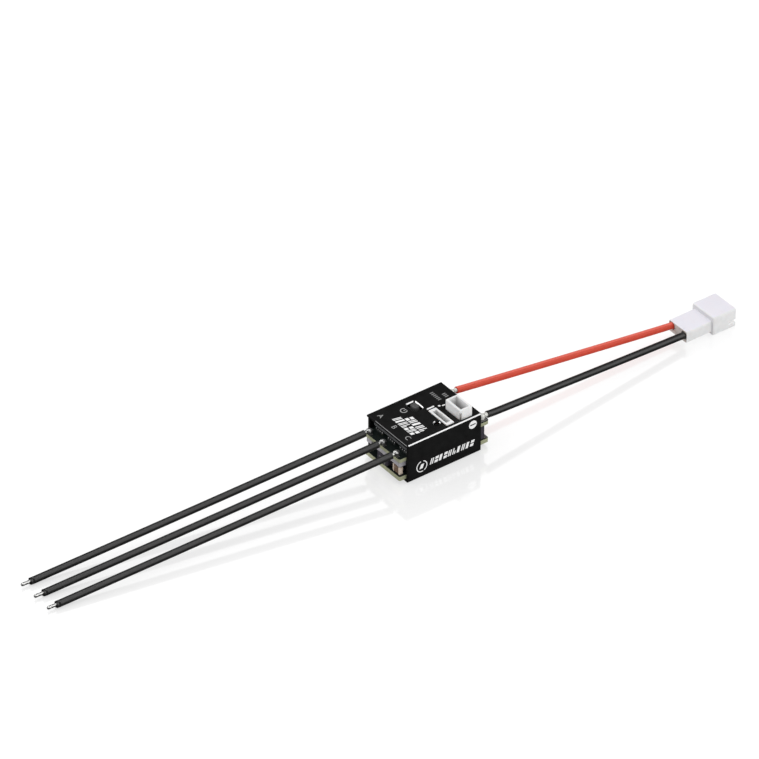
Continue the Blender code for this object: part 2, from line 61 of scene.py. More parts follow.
# Leads, as in the CAD source
LEAD_DIAMETER = 1.8
LEAD_PITCH = 5.5
MOTOR_EXIT_X = -14.35
MOTOR_ROUTE = (
    (0.0, 0.0, 8.36),
    (-3.0, 0.27, 8.06),
    (-23.2, 2.06, 6.33),
    (-46.3, 4.09, 4.42),
    (-69.5, 6.1, 2.6),
    (-89.6, 7.83, 1.06),
    (-92.4, 8.06, 0.92),
)
POSITIVE_ROUTE = (
    (14.05, 6.2, 8.5),
    (17.0, 6.0, 8.2),
    (30.4, 5.07, 7.0),
    (46.8, 3.93, 5.58),
    (63.2, 2.82, 4.15),
    (76.5, 1.95, 3.04),
    (79.6, 1.8, 2.88),
)
NEGATIVE_ROUTE = (
    (14.05, -6.2, 8.5),
    (17.0, -6.1, 8.17),
    (30.4, -5.4, 6.95),
    (46.8, -4.55, 5.43),
    (63.2, -3.7, 3.97),
    (76.5, -3.05, 2.86),
    (79.6, -2.92, 2.7),
)
ROUTE_POINTS = 40
TIP_LENGTH, TIP_STEPS = 2.5, 14

# Cover, as in the CAD source
COVER_WALL, COVER_TOP, COVER_CHAMFER = 0.8, 0.7, 0.25
COVER_FOLD, COVER_INNER_FOLD, EDGE_ROUNDING = 0.7, 0.25, 0.05
FRONT_CHAMFER, FRONT_HIGHLIGHT_Y = 0.11, 4.8  # of the top's front edge, and how far along it the grey painted highlight reaches
SIDE_BARE_X = -11.2  # where the side chamfers' paint ends
WALL_SETBACK = 0.4  # of the side walls' front ends, behind the top plate's
LIP_REACH, LIP_HEIGHT, LIP_CORNER = 1.8, 0.7, 0.6
# Windows in the top: low x, high x, low y, high y of their mouths, and of their throats below the chamfer
BUTTON_WINDOW = (-1.95, 1.05, 1.85, 5.9), (-1.7, 0.8, 2.1, 5.65)
PROGRAM_WINDOW = (0.95, 3.85, -7.25, 1.3), (1.07, 3.8, -7.2, 1.05)
THROTTLE_WINDOW = (4.85, 8.85, -7.5, -1.2), (4.9, 8.8, -7.45, -1.25)
WINDOW_CORNER, WINDOW_CHAMFER = 0.5, 0.25
LED_HOLE, LED_HOLE_RADIUS, LED_HOLE_CHAMFER = (-0.27, -4.85), 0.75, 0.2

# ---------------------------------------------------------------- materials

EVEN = (1.0, 1.0, 1.0)
ALONG_X, FINE_ALONG_X, LONG_ALONG_X = (0.2, 1.0, 1.0), (0.12, 1.0, 1.0), (0.02, 1.0, 1.0)
DARK_END, LIGHT_END = 0.3, 0.7  # the part of a noise's range that its colours and roughness are spread over


def grey(value):
    return (value, value, value)


class Look:
    """A node material whose patterns lie still in the model's frame, measured in millimetres."""

    def __init__(self, name, roughness, metallic=0.0, shine=0.5, constants=None):
        self.material = bpy.data.materials.new(name)
        self.material.use_nodes = True
        self.tree = self.material.node_tree
        self.shader = self.tree.nodes["Principled BSDF"]
        own = {"Roughness": roughness, "Metallic": metallic, "Specular IOR Level": shine}
        for socket, value in {**own, **(constants or {})}.items():
            self.shader.inputs[socket].default_value = value
        self.place = self.node("ShaderNodeTexCoord").outputs["Object"]

    def node(self, kind, values=None, links=None, **settings):
        """A new node, its sockets set to values or linked to other nodes' outputs."""
        made = self.tree.nodes.new(kind)
        for name, value in settings.items():
            setattr(made, name, value)
        for socket, value in (values or {}).items():
            made.inputs[socket].default_value = value
        for socket, output in (links or {}).items():
            self.tree.links.new(output, made.inputs[socket])
        return made

    def scaled(self, stretch=EVEN):
        """The place in millimetres, stretched along its axes."""
        values = {"Scale": [part / MM for part in stretch]}
        return self.node("ShaderNodeMapping", values, {"Vector": self.place}).outputs["Vector"]

    def noise(self, scale, detail=3.0, stretch=EVEN):
        """Noise from 0 to 1 with about so many blotches to a millimetre."""
        values = {"Scale": scale, "Detail": detail}
        return self.node("ShaderNodeTexNoise", values, {"Vector": self.scaled(stretch)}).outputs["Fac"]

    def cells(self, scale, feature="F1"):
        """Cells with about so many to a millimetre: the distance from their middles or edges."""
        links = {"Vector": self.scaled()}
        made = self.node("ShaderNodeTexVoronoi", {"Scale": scale}, links, feature=feature)
        return made.outputs["Distance"]

    def bands(self, axis, scale, distortion, detail=1.0):
        """Soft parallel bands across an axis."""
        values = {"Scale": scale, "Distortion": distortion, "Detail": detail}
        settings = {"wave_type": "BANDS", "bands_direction": axis}
        return self.node("ShaderNodeTexWave", values, {"Vector": self.scaled()}, **settings).outputs["Fac"]

    def sum(self, one, other, share):
        """A mix of two patterns, share of it the second."""
        mix = self.node("ShaderNodeMix", {"Factor": share}, {"A": one, "B": other}, data_type="FLOAT")
        return mix.outputs["Result"]

    def spread(self, pattern, low, high, to=(0.0, 1.0), **settings):
        """A pattern's range from low to high, spread over another range."""
        values = {"From Min": low, "From Max": high, "To Min": to[0], "To Max": to[1]}
        return self.node("ShaderNodeMapRange", values, {"Value": pattern}, **settings).outputs["Result"]

    def colour(self, pattern, *stops):
        """Base colour along a ramp of (position, colour) stops."""
        ramp = self.node("ShaderNodeValToRGB", links={"Fac": pattern})
        while len(ramp.color_ramp.elements) < len(stops):
            ramp.color_ramp.elements.new(1.0)
        for element, (position, colour) in zip(ramp.color_ramp.elements, stops):
            element.position = position
            element.color = (*colour, 1.0)
        self.tree.links.new(ramp.outputs["Color"], self.shader.inputs["Base Color"])

    def painted_top_light(self, colour, start=0.8, end=0.98):
        """A second colour over the first where the surface looks up: painted light on a part's top side."""
        normal = self.node("ShaderNodeNewGeometry").outputs["Normal"]
        upward = self.node("ShaderNodeSeparateXYZ", links={"Vector": normal}).outputs["Z"]
        share = self.spread(upward, start, end, interpolation_type="SMOOTHSTEP")
        base = self.shader.inputs["Base Color"]
        links = {"Factor": share, 6: base.links[0].from_socket}
        mix = self.node("ShaderNodeMix", {7: (*colour, 1.0)}, links, data_type="RGBA")
        self.tree.links.new(mix.outputs[2], base)

    def bump(self, pattern, height, strength=1.0):
        """Relief of a height in millimetres, on top of any that is there already."""
        normal = self.shader.inputs["Normal"]
        links = {"Height": pattern}
        if normal.is_linked:
            links["Normal"] = normal.links[0].from_socket
        made = self.node("ShaderNodeBump", {"Strength": strength, "Distance": height * MM}, links)
        self.tree.links.new(made.outputs["Normal"], normal)

    def grain(self, rough, *reliefs):
        """Roughness as (low, high, its noise's facts), and reliefs as (height, their noise's facts)."""
        low, high, *pattern = rough
        spread = self.spread(self.noise(*pattern), DARK_END, LIGHT_END, (low, high))
        self.tree.links.new(spread, self.shader.inputs["Roughness"])
        for height, *pattern in reliefs:
            self.bump(self.noise(*pattern), height)
        return self.material

    def finish(self, dark, light, tone, rough, *reliefs):
        """Colour that wanders from dark to light by a noise, with its grain."""
        self.colour(self.noise(*tone), (DARK_END, dark), (LIGHT_END, light))
        return self.grain(rough, *reliefs)

    def blotched(self, scale, dark, light, rough, relief, detail=3.0):
        """The usual finish: one noise at three scales, for colour, roughness and a fine relief."""
        rough, relief = (*rough, scale * 2.5, detail), (relief, scale * 6, detail)
        return self.finish(dark, light, (scale, detail), rough, relief)


def make_mask():
    """Dark solder mask with the copper's tracks showing through as faint relief and tone."""
    look = Look("solder_mask", 0.35, shine=0.4, constants={"Coat Weight": 0.15})
    tracks = look.cells(0.55, "DISTANCE_TO_EDGE")
    tones = (0.1, (0.014, 0.022, 0.019)), (0.22, (0.008, 0.013, 0.0115)), (0.6, (0.01, 0.016, 0.0145))
    look.colour(look.sum(tracks, look.noise(1.2), 0.35), *tones)
    look.bump(tracks, 0.02, 0.6)
    return look.grain((0.28, 0.45, 6.0), (0.002, 24.0, 2.0))


def make_laminate():
    """Cut edge of glass-fibre board: olive resin with the weave's layers showing as fine lines."""
    look = Look("laminate_edge", 0.6, shine=0.3)
    layers = look.bands("Z", 1.9, 1.5, 2.0)
    tones = (0.2, (0.25, 0.26, 0.155)), (0.5, (0.36, 0.375, 0.235)), (0.8, (0.47, 0.48, 0.33))
    look.colour(look.sum(layers, look.noise(5.0, 4.0), 0.45), *tones)
    look.bump(layers, 0.012)
    return look.grain((0.5, 0.75, 9.0), (0.012, 18.0, 4.0))


def make_nylon(name, dark, light, upper=None):
    """Moulded white nylon: slightly see-through, with a faint sink and a fine spark-eroded grain."""
    constants = {
        "Subsurface Weight": 0.25,
        "Subsurface Radius": (0.0007, 0.0006, 0.00055),
        "Subsurface Scale": 1.0,
    }
    look = Look(name, 0.45, shine=0.35, constants=constants)
    look.colour(look.noise(0.7, 4.0), (DARK_END, dark), (LIGHT_END, light))
    # upper is painted light: a tint where the nylon faces upwards
    if upper:
        look.painted_top_light(upper)
    look.grain((0.38, 0.55, 5.0), (0.004, 16.0))
    look.bump(look.noise(1.4, 2.0), 0.02, 0.5)
    return look.material


def make_painted_shade_nylon(name, low, high, deep, open_colour):
    """Nylon with painted shade, darker towards a socket's floor, between two heights."""
    look = Look(name, 0.6, shine=0.15)
    height = look.node("ShaderNodeSeparateXYZ", links={"Vector": look.place}).outputs["Z"]
    rise = look.spread(height, low * MM, high * MM)
    look.colour(look.sum(rise, look.noise(3.0), 0.15), (0.0, deep), (1.0, open_colour))
    return look.grain((0.5, 0.7, 5.0), (0.004, 16.0))


def make_epoxy():
    """Black moulding compound of chips: matt, with glass filler specks."""
    look = Look("chip_epoxy", 0.5, shine=0.35)
    tones = (0.05, (0.045, 0.045, 0.048)), (0.2, (0.017, 0.017, 0.018)), (0.6, (0.024, 0.024, 0.026))
    look.colour(look.sum(look.cells(14.0), look.noise(2.0), 0.3), *tones)
    return look.grain((0.42, 0.62, 8.0), (0.006, 20.0))


def make_ceramic(name, dark, light):
    return Look(name, 0.55, shine=0.4).blotched(6.0, dark, light, (0.45, 0.65), 0.008, 4.0)


def make_alloy():
    """Pressed metal powder of the coil's block, with dark and light grains."""
    look = Look("pressed_alloy", 0.5, 0.35)
    grains = look.cells(9.0)
    tones = (0.15, grey(0.09)), (0.45, grey(0.16)), (0.8, grey(0.24))
    look.colour(look.sum(grains, look.noise(3.0, 4.0), 0.4), *tones)
    look.bump(grains, 0.01)
    return look.grain((0.4, 0.65, 10.0))


def make_pad():
    """Soft cooling pad, a faintly sticky silicone with a fine woven liner's print."""
    look = Look("cooling_pad", 0.75, constants={"Sheen Weight": 0.2, "Sheen Roughness": 0.5})
    look.finish((0.075, 0.08, 0.085), (0.11, 0.115, 0.12), (2.0, 4.0), (0.65, 0.85, 6.0))
    for axis in "YX":
        look.bump(look.bands(axis, 2.6, 0.4), 0.012)
    return look.material


def make_silicone(name, dark, light, shine, painted_highlight=None):
    """Soft insulation with fine extrusion lines along the lead, and any given painted highlight on its top
    side.
    """
    look = Look(name, 0.42, shine=shine)
    lines = look.noise(7.0, 3.0, LONG_ALONG_X)
    look.colour(look.sum(look.noise(0.35, 4.0), lines, 0.4), (DARK_END, dark), (LIGHT_END, light))
    if painted_highlight:
        look.painted_top_light(painted_highlight)
    look.bump(lines, 0.006)
    return look.grain((0.36, 0.46, 2.5), (0.004, 20.0, 2.0))


def make_ink(name, dark, light):
    """Screen-printed ink, slightly uneven."""
    return Look(name, 0.6, shine=0.3).blotched(5.0, grey(dark), grey(light), (0.5, 0.7), 0.003)


LENS = {"Transmission Weight": 0.35, "IOR": 1.5}
GLOWING_FLOOR = {"IOR": 1.8, "Emission Color": (1.0, 1.0, 1.0, 1.0), "Emission Strength": 0.62}

MATERIALS = {
    # matt black finish of the folded aluminium, with an orange-peel relief at two scales
    "paint": Look("cover_paint", 0.5, shine=0.12).finish(
        grey(0.008), grey(0.012), (0.5, 4.0), (0.46, 0.6, 3.0), (0.006, 11.0, 2.0), (0.003, 34.0, 2.0)
    ),
    # bright milled edges with fine tool marks along the cover
    "bare": Look("milled_aluminium", 0.28, 1.0).finish(
        grey(0.8), grey(0.9), (2.0, 4.0), (0.22, 0.38, 9.0, 3.0, ALONG_X), (0.004, 22.0, 2.0, FINE_ALONG_X)
    ),
    # painted highlight: a grey stripe standing in for light on the bare cut front edge
    "cut_edge_highlight": Look("cut_edge_painted_highlight", 0.6, shine=0.2).blotched(3.0, grey(0.2), grey(0.32), (0.5, 0.7), 0.003),
    "ink": make_ink("white_ink", 0.88, 0.96),
    "pale_ink": make_ink("pale_ink", 0.4, 0.5),
    "grey_ink": make_ink("grey_ink", 0.2, 0.27),
    "mask": make_mask(),
    "laminate": make_laminate(),
    # bright solder, a little wrinkled where it froze
    "solder": Look("solder_tin", 0.2, 1.0).finish(
        (0.72, 0.72, 0.71), (0.93, 0.93, 0.92), (2.5, 4.0), (0.24, 0.42, 6.0), (0.04, 3.5), (0.01, 14.0)
    ),
    # a paler, more matt copy of the solder, for the battery joints
    "pale_solder": Look("pale_solder", 0.4, 0.25).finish(
        (0.76, 0.76, 0.72), (0.93, 0.93, 0.89), (2.5, 4.0), (0.3, 0.5, 6.0), (0.03, 3.5)
    ),
    "strands": Look("tinned_strands", 0.25, 1.0).finish(
        (0.8, 0.79, 0.77), (0.95, 0.95, 0.94), (4.0,), (0.18, 0.34, 9.0), (0.012, 12.0)
    ),
    # matt plating of the small parts' ends, in a dark grey
    "dull_tin": Look("dull_tin", 0.5, 0.6).blotched(
        5.0, (0.24, 0.23, 0.23), (0.4, 0.39, 0.38), (0.4, 0.6), 0.01
    ),
    "gold": Look("gold_plating", 0.3, 1.0).blotched(
        4.0, (0.78, 0.56, 0.24), (0.95, 0.74, 0.38), (0.2, 0.4), 0.004
    ),
    "nickel": Look("nickel_plating", 0.3, 1.0).finish(
        grey(0.6),
        (0.74, 0.73, 0.7),
        (3.0,),
        (0.22, 0.42, 8.0, 3.0, (0.25, 1.0, 1.0)),
        (0.004, 20.0, 2.0, (0.1, 1.0, 1.0)),
    ),
    # dull brass of the posts between the boards
    "brass": Look("dull_brass", 0.45, 0.8).blotched(
        4.0, (0.05, 0.047, 0.03), (0.09, 0.083, 0.05), (0.35, 0.55), 0.004
    ),
    "socket": make_nylon("socket_nylon", grey(0.82), grey(0.89)),
    # painted shade: nylons that darken towards a socket's or the plug's floor
    "throttle_painted_shade": make_painted_shade_nylon("throttle_painted_shade", 11.2, 13.9, grey(0.42), grey(0.84)),
    "program_painted_shade": make_painted_shade_nylon("program_painted_shade", 9.0, 11.3, grey(0.27), grey(0.72)),
    # painted shade lining the throttle socket's corner notch and the plug's lead entries
    "plug_painted_shade": make_painted_shade_nylon("plug_painted_shade", 0.0, 5.5, (0.5, 0.47, 0.45), (0.6, 0.57, 0.55)),
    # the plug's lavender on its upward faces is painted light
    "plug": make_nylon("plug_nylon", grey(0.79), grey(0.85), (0.84, 0.82, 0.885)),
    # painted light: a brighter copy of the plug nylon for its grooves' faces
    "plug_lip_painted_light": make_nylon("plug_lip_painted_light", grey(0.92), grey(0.96)),
    # painted shade: darker copies of the plug nylon for its step face and rear face
    "plug_shade": make_nylon("plug_shade", (0.66, 0.655, 0.68), (0.73, 0.725, 0.75)),
    "plug_rear_painted_shade": make_nylon("plug_rear_painted_shade", (0.52, 0.48, 0.45), (0.62, 0.58, 0.55)),
    "epoxy": make_epoxy(),
    # dark violet-grey moulding of the polymer capacitors
    "resin": Look("capacitor_resin", 0.5, shine=0.35).blotched(
        3.0, (0.04, 0.035, 0.047), (0.062, 0.055, 0.072), (0.42, 0.6), 0.005
    ),
    "switch": Look("switch_plastic", 0.45, shine=0.3).blotched(
        2.0, grey(0.010), grey(0.016), (0.38, 0.55), 0.004
    ),
    "button": Look("button_plastic", 0.45, shine=0.4).blotched(
        2.2, grey(0.075), grey(0.11), (0.34, 0.55), 0.005
    ),
    "tan": make_ceramic("ceramic_tan", (0.14, 0.085, 0.055), (0.27, 0.175, 0.115)),
    "tan_tin": make_ceramic("ceramic_tan_end", (0.5, 0.37, 0.27), (0.85, 0.76, 0.66)),
    "grey": make_ceramic("ceramic_grey", (0.3, 0.285, 0.31), (0.48, 0.465, 0.49)),
    "alloy": make_alloy(),
    "shunt": Look("shunt_alloy", 0.45, 0.9).finish(
        (0.23, 0.2, 0.17),
        (0.33, 0.29, 0.25),
        (3.0,),
        (0.35, 0.55, 9.0, 3.0, (1.0, 0.2, 1.0)),
        (0.005, 18.0, 2.0, (1.0, 0.1, 1.0)),
    ),
    # clear yellowish lens of the status lamp
    "lens": Look("lamp_lens", 0.12, constants=LENS).blotched(
        3.0, (0.8, 0.76, 0.55), (0.9, 0.88, 0.72), (0.08, 0.2), 0.002
    ),
    "pad": make_pad(),
    "black_silicone": make_silicone("black_silicone", grey(0.009), grey(0.014), 1.0),
    # the red lead's last colour is a painted highlight along its upper side
    "red_silicone": make_silicone(
        "red_silicone", (0.66, 0.058, 0.028), (0.74, 0.074, 0.036), 0.35, (0.82, 0.16, 0.12)
    ),
    "floor": Look("floor_white", 0.1, constants=GLOWING_FLOOR).finish(
        grey(0.33), grey(0.335), (0.01, 2.0), (0.06, 0.09, 0.02, 2.0)
    ),
}


# ---------------------------------------------------------------- shapes, in millimetres

FACING = {
    "X": Matrix(((0, 0, 1, 0), (1, 0, 0, 0), (0, 1, 0, 0), (0, 0, 0, 1))),
    "-Y": Matrix(((1, 0, 0, 0), (0, 0, -1, 0), (0, 1, 0, 0), (0, 0, 0, 1))),
    "Y": Matrix(((-1, 0, 0, 0), (0, 0, 1, 0), (0, 1, 0, 0), (0, 0, 0, 1))),
    "Z": Matrix.Identity(4),
}
SHARP = 40.0  # degrees between two faces, over which their edge is sharp
NEAR = 1e-4  # a distance that counts as none


def span(node):
    """Lowest and highest corner of a CAD node."""
    low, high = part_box(node)
    return Vector(low) / MM, Vector(high) / MM


def round_edges(shape, edges, width, segments, profile=0.5):
    bmesh.ops.bevel(shape, geom=edges, offset=width, segments=segments, profile=profile, affect="EDGES")


def split(shape, place, heading):
    """Cuts a shape's faces in two along a plane, and keeps both sides."""
    everything = [*shape.verts, *shape.edges, *shape.faces]
    bmesh.ops.bisect_plane(shape, geom=everything, plane_co=place, plane_no=heading)


def pull(vertex, centre, x_share, y_share):
    """Scales a corner's distance from an upright line through the centre."""
    vertex.co.x = centre.x + (vertex.co.x - centre.x) * x_share
    vertex.co.y = centre.y + (vertex.co.y - centre.y) * y_share


def block(low, high, bevel=0.0, segments=2):
    """A box between two corners with rounded edges."""
    shape = bmesh.new()
    bmesh.ops.create_cube(shape, size=1.0)
    low, high = Vector(low), Vector(high)
    bmesh.ops.scale(shape, vec=high - low, verts=shape.verts)
    bmesh.ops.translate(shape, vec=(high + low) / 2, verts=shape.verts)
    if bevel:
        round_edges(shape, list(shape.edges), bevel, segments)
    return shape


def end_boxes(low, high, axis, reach):
    """Corners of the two boxes at the ends of a longer one, as long as the reach."""
    boxes = []
    for corner, edge in ((1, low[axis] + reach), (0, high[axis] - reach)):
        box = low.copy(), high.copy()
        box[corner][axis] = edge
        boxes.append(box)
    return boxes


def rounded_rectangle(x_low, x_high, y_low, y_high, radius, steps=5):
    """Outline of a rectangle whose corners are arcs."""
    points = []
    corners = ((x_high, y_high, 0), (x_low, y_high, 1), (x_low, y_low, 2), (x_high, y_low, 3))
    for x, y, quarter in corners:
        x += radius if quarter in (1, 2) else -radius
        y += radius if quarter in (2, 3) else -radius
        for step in range(steps + 1):
            angle = math.pi / 2 * (quarter + step / steps)
            points.append((x + radius * math.cos(angle), y + radius * math.sin(angle)))
    return points


def arc(centre, radius, start, end, steps=5):
    """Points of an arc between two angles in degrees."""
    points = []
    for step in range(steps + 1):
        angle = math.radians(start + (end - start) * step / steps)
        points.append((centre[0] + radius * math.cos(angle), centre[1] + radius * math.sin(angle)))
    return points


def ring(centre, outer, inner, start, end, steps=36):
    """Outline of an open ring."""
    return arc(centre, outer, start, end, steps) + arc(centre, inner, end, start, steps)


def prism(outline, start, end, axis="Z"):
    """An outline carried from start to end along an axis: of (y, z) along X, and of (x, z) along Y."""
    shape = bmesh.new()
    base = shape.faces.new([shape.verts.new((x, y, start)) for x, y in outline])
    raised = bmesh.ops.extrude_face_region(shape, geom=[base])
    top = [item for item in raised["geom"] if isinstance(item, bmesh.types.BMVert)]
    bmesh.ops.translate(shape, vec=(0.0, 0.0, end - start), verts=top)
    bmesh.ops.transform(shape, matrix=FACING[axis], verts=shape.verts)
    return shape


def skinned(loops):
    """A solid through closed loops of points, each with as many points as the next."""
    shape = bmesh.new()
    rings = [[shape.verts.new(point) for point in loop] for loop in loops]
    for lower, upper in zip(rings, rings[1:]):
        for index, vertex in enumerate(lower):
            after = (index + 1) % len(lower)
            shape.faces.new((vertex, lower[after], upper[after], upper[index]))
    shape.faces.new(rings[0])
    shape.faces.new(rings[-1])
    return shape


def lathe(profile, sides, heading=(0.0, 0.0, 1.0), at=(0.0, 0.0, 0.0), ripple=None):
    """A solid of revolution from (radius, height) points. Ripple changes a radius by (angle, height)."""
    shape = bmesh.new()
    rings = []
    for radius, height in profile:
        if radius == 0:
            rings.append([shape.verts.new((0.0, 0.0, height))])
            continue
        ring = []
        for side in range(sides):
            angle = 2 * math.pi * side / sides
            reach = radius * (ripple(angle, height) if ripple else 1.0)
            ring.append(shape.verts.new((reach * math.cos(angle), reach * math.sin(angle), height)))
        rings.append(ring)
    for lower, upper in zip(rings, rings[1:]):
        for side in range(sides):
            after = (side + 1) % sides
            if len(lower) == 1:
                shape.faces.new((lower[0], upper[after], upper[side]))
            elif len(upper) == 1:
                shape.faces.new((lower[side], lower[after], upper[0]))
            else:
                shape.faces.new((lower[side], lower[after], upper[after], upper[side]))
    for ring in (rings[0], rings[-1]):
        if len(ring) > 1:
            shape.faces.new(ring)
    turn = Vector(heading).to_track_quat("Z", "Y").to_matrix().to_4x4()
    bmesh.ops.transform(shape, matrix=Matrix.Translation(at) @ turn, verts=shape.verts)
    return shape


class Form:
    """A mesh that is put together part by part, each part in its own material."""

    def __init__(self):
        self.shape = bmesh.new()
        self.materials = []

    def index(self, material):
        if material not in self.materials:
            self.materials.append(material)
        return self.materials.index(material)

    def add(self, shape, material, smooth=True):
        number = self.index(material)
        bmesh.ops.recalc_face_normals(shape, faces=shape.faces)
        for face in shape.faces:
            face.material_index = number
            face.smooth = smooth
        passing = bpy.data.meshes.new("passing")
        shape.to_mesh(passing)
        shape.free()
        self.shape.from_mesh(passing)
        bpy.data.meshes.remove(passing)
        return self

    def item(self, name, sharp=SHARP):
        """The object in the scene, in metres, with edges sharp where faces meet over an angle."""
        bmesh.ops.scale(self.shape, vec=(MM, MM, MM), verts=self.shape.verts)
        data = bpy.data.meshes.new(name)
        self.shape.to_mesh(data)
        self.shape.free()
        for material in self.materials:
            data.materials.append(MATERIALS[material])
        data.shade_smooth()
        data.set_sharp_from_angle(angle=math.radians(sharp))
        return placed(name, data)


def placed(name, data):
    """A new object in the scene."""
    made = bpy.data.objects.new(name, data)
    bpy.context.scene.collection.objects.link(made)
    return made


def evaluated(item):
    """The mesh of an object with its modifiers or text applied."""
    bpy.context.view_layer.update()
    return bpy.data.meshes.new_from_object(item.evaluated_get(bpy.context.evaluated_depsgraph_get()))


def settle(item, sharp=SHARP):
    """Applies an object's modifiers."""
    data = evaluated(item)
    data.shade_smooth()
    data.set_sharp_from_angle(angle=math.radians(sharp))
    old = item.data
    item.modifiers.clear()
    item.data = data
    bpy.data.meshes.remove(old)
    data.name = item.name
    return item


def carve(item, shape, material, operation="DIFFERENCE"):
    """Cuts a shape out of an object, or joins it on, with the new faces in a material."""
    tool = Form().add(shape, material).item(item.name + "_tool")
    modifier = item.modifiers.new("carve", "BOOLEAN")
    modifier.operation = operation
    modifier.object = tool
    modifier.solver = "EXACT"
    modifier.material_mode = "TRANSFER"
    settle(item)
    data = tool.data
    bpy.data.objects.remove(tool)
    bpy.data.meshes.remove(data)


def soften(item, width, segments=2, angle=SHARP, sharp=SHARP):
    """Rounds the sharp edges of an object."""
    modifier = item.modifiers.new("soften", "BEVEL")
    modifier.width = width * MM
    modifier.segments = segments
    modifier.limit_method = "ANGLE"
    modifier.angle_limit = math.radians(angle)
    modifier.use_clamp_overlap = True
    settle(item, sharp)


def fit(item, slot, *nodes, body=BODY):
    """Puts a finished piece on its body, in place of the CAD nodes it stands for."""
    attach(item, body)
    if nodes:
        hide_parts(*nodes)
    return item


# ---------------------------------------------------------------- camera and leads


def make_camera():
    azimuth, elevation = math.radians(CAMERA_AZIMUTH), math.radians(CAMERA_ELEVATION)
    right = Vector((math.cos(azimuth), math.sin(azimuth), 0.0))
    level = Vector((math.sin(azimuth), -math.cos(azimuth), 0.0))
    back = level * math.cos(elevation) + Vector((0.0, 0.0, math.sin(elevation)))
    up = back.cross(right)
    place = right * CAMERA_AIM[0] + up * CAMERA_AIM[1] + back * CAMERA_DISTANCE
    data = bpy.data.cameras.new("camera")
    data.lens, data.sensor_width = CAMERA_LENS, CAMERA_SENSOR
    data.clip_start, data.clip_end = 0.01, 20.0
    camera = placed("camera", data)
    camera.matrix_world = Matrix.Translation(place * MM) @ Matrix((right, up, back)).transposed().to_4x4()
    bpy.context.scene.camera = camera


def smooth_route(route, count):
    """Points spread along a Catmull-Rom curve through the route's own points."""
    knots = [Vector(point) for point in route]
    knots = [2 * knots[0] - knots[1], *knots, 2 * knots[-1] - knots[-2]]
    spans = len(route) - 1
    points = []
    for index in range(count):
        along = index * spans / (count - 1)
        first = min(int(along), spans - 1)
        t = along - first
        before, start, end, after = knots[first : first + 4]
        bend = 2 * before - 5 * start + 4 * end - after
        twist = 3 * start - before - 3 * end + after
        points.append(start + 0.5 * (t * (end - before) + t * t * bend + t**3 * twist))
    return points


def make_lead(name, points, material, slot, node):
    """Insulation of a lead as a round tube along its route."""
    curve = bpy.data.curves.new(name, "CURVE")
    curve.dimensions = "3D"
    curve.bevel_depth = LEAD_DIAMETER / 2 * MM
    curve.bevel_resolution = 7
    curve.use_fill_caps = True
    spline = curve.splines.new("POLY")
    spline.points.add(len(points) - 1)
    for knot, point in zip(spline.points, points):
        knot.co = (*(point * MM), 1.0)
    spline.use_smooth = True
    curve.materials.append(MATERIALS[material])
    return fit(placed(name, curve), slot, node)


def strand_ripple(count, twist, depth):
    """Radius of a bundle of strands that twist as they go."""

    def ripple(angle, height):
        return 1.0 - depth * abs(math.sin(count / 2 * (angle + twist * height)))

    return ripple


def make_tip(name, end, heading, node):
    """Stripped end: twisted strands dipped in tin, with a rounded drop at the end."""
    low, high = span(node)
    length = min((high - low).length, TIP_LENGTH)
    profile = [(0.0, -0.6), (0.4, -0.6)]
    for step in range(TIP_STEPS + 1):
        profile.append((0.44 + 0.015 * math.sin(step * 1.7), length * 0.86 * step / TIP_STEPS))
    profile += [(0.4, length * 0.93), (0.28, length * 0.98), (0.0, length)]
    form = Form().add(lathe(profile, 42, heading, end, strand_ripple(7, 0.9, 0.14)), "strands")
    return fit(form.item(name, 60), "solder", node)


def make_motor_leads():
    for number, letter in enumerate("abc"):
        y = (1 - number) * LEAD_PITCH
        route = [(MOTOR_EXIT_X + dx, y + dy, z) for dx, dy, z in MOTOR_ROUTE]
        points = smooth_route(route, ROUTE_POINTS)
        node = f"motor_lead_{letter}"
        lead = make_lead(f"motor_cable_{letter}", points, "black_silicone", "black_silicone", node)
        heading = (points[-1] - points[-2]).normalized()
        tip = make_tip(f"tinned_end_{letter}", points[-1], heading, f"lead_tip_{letter}")


def make_battery_leads(plug_pieces):
    ways = (("positive", POSITIVE_ROUTE, "red_silicone"), ("negative", NEGATIVE_ROUTE, "black_silicone"))
    for name, route, material in ways:
        points = smooth_route(route, ROUTE_POINTS)
        lead = make_lead(f"battery_cable_{name}", points, material, material, f"battery_lead_{name}")


# ---------------------------------------------------------------- cover and its prints


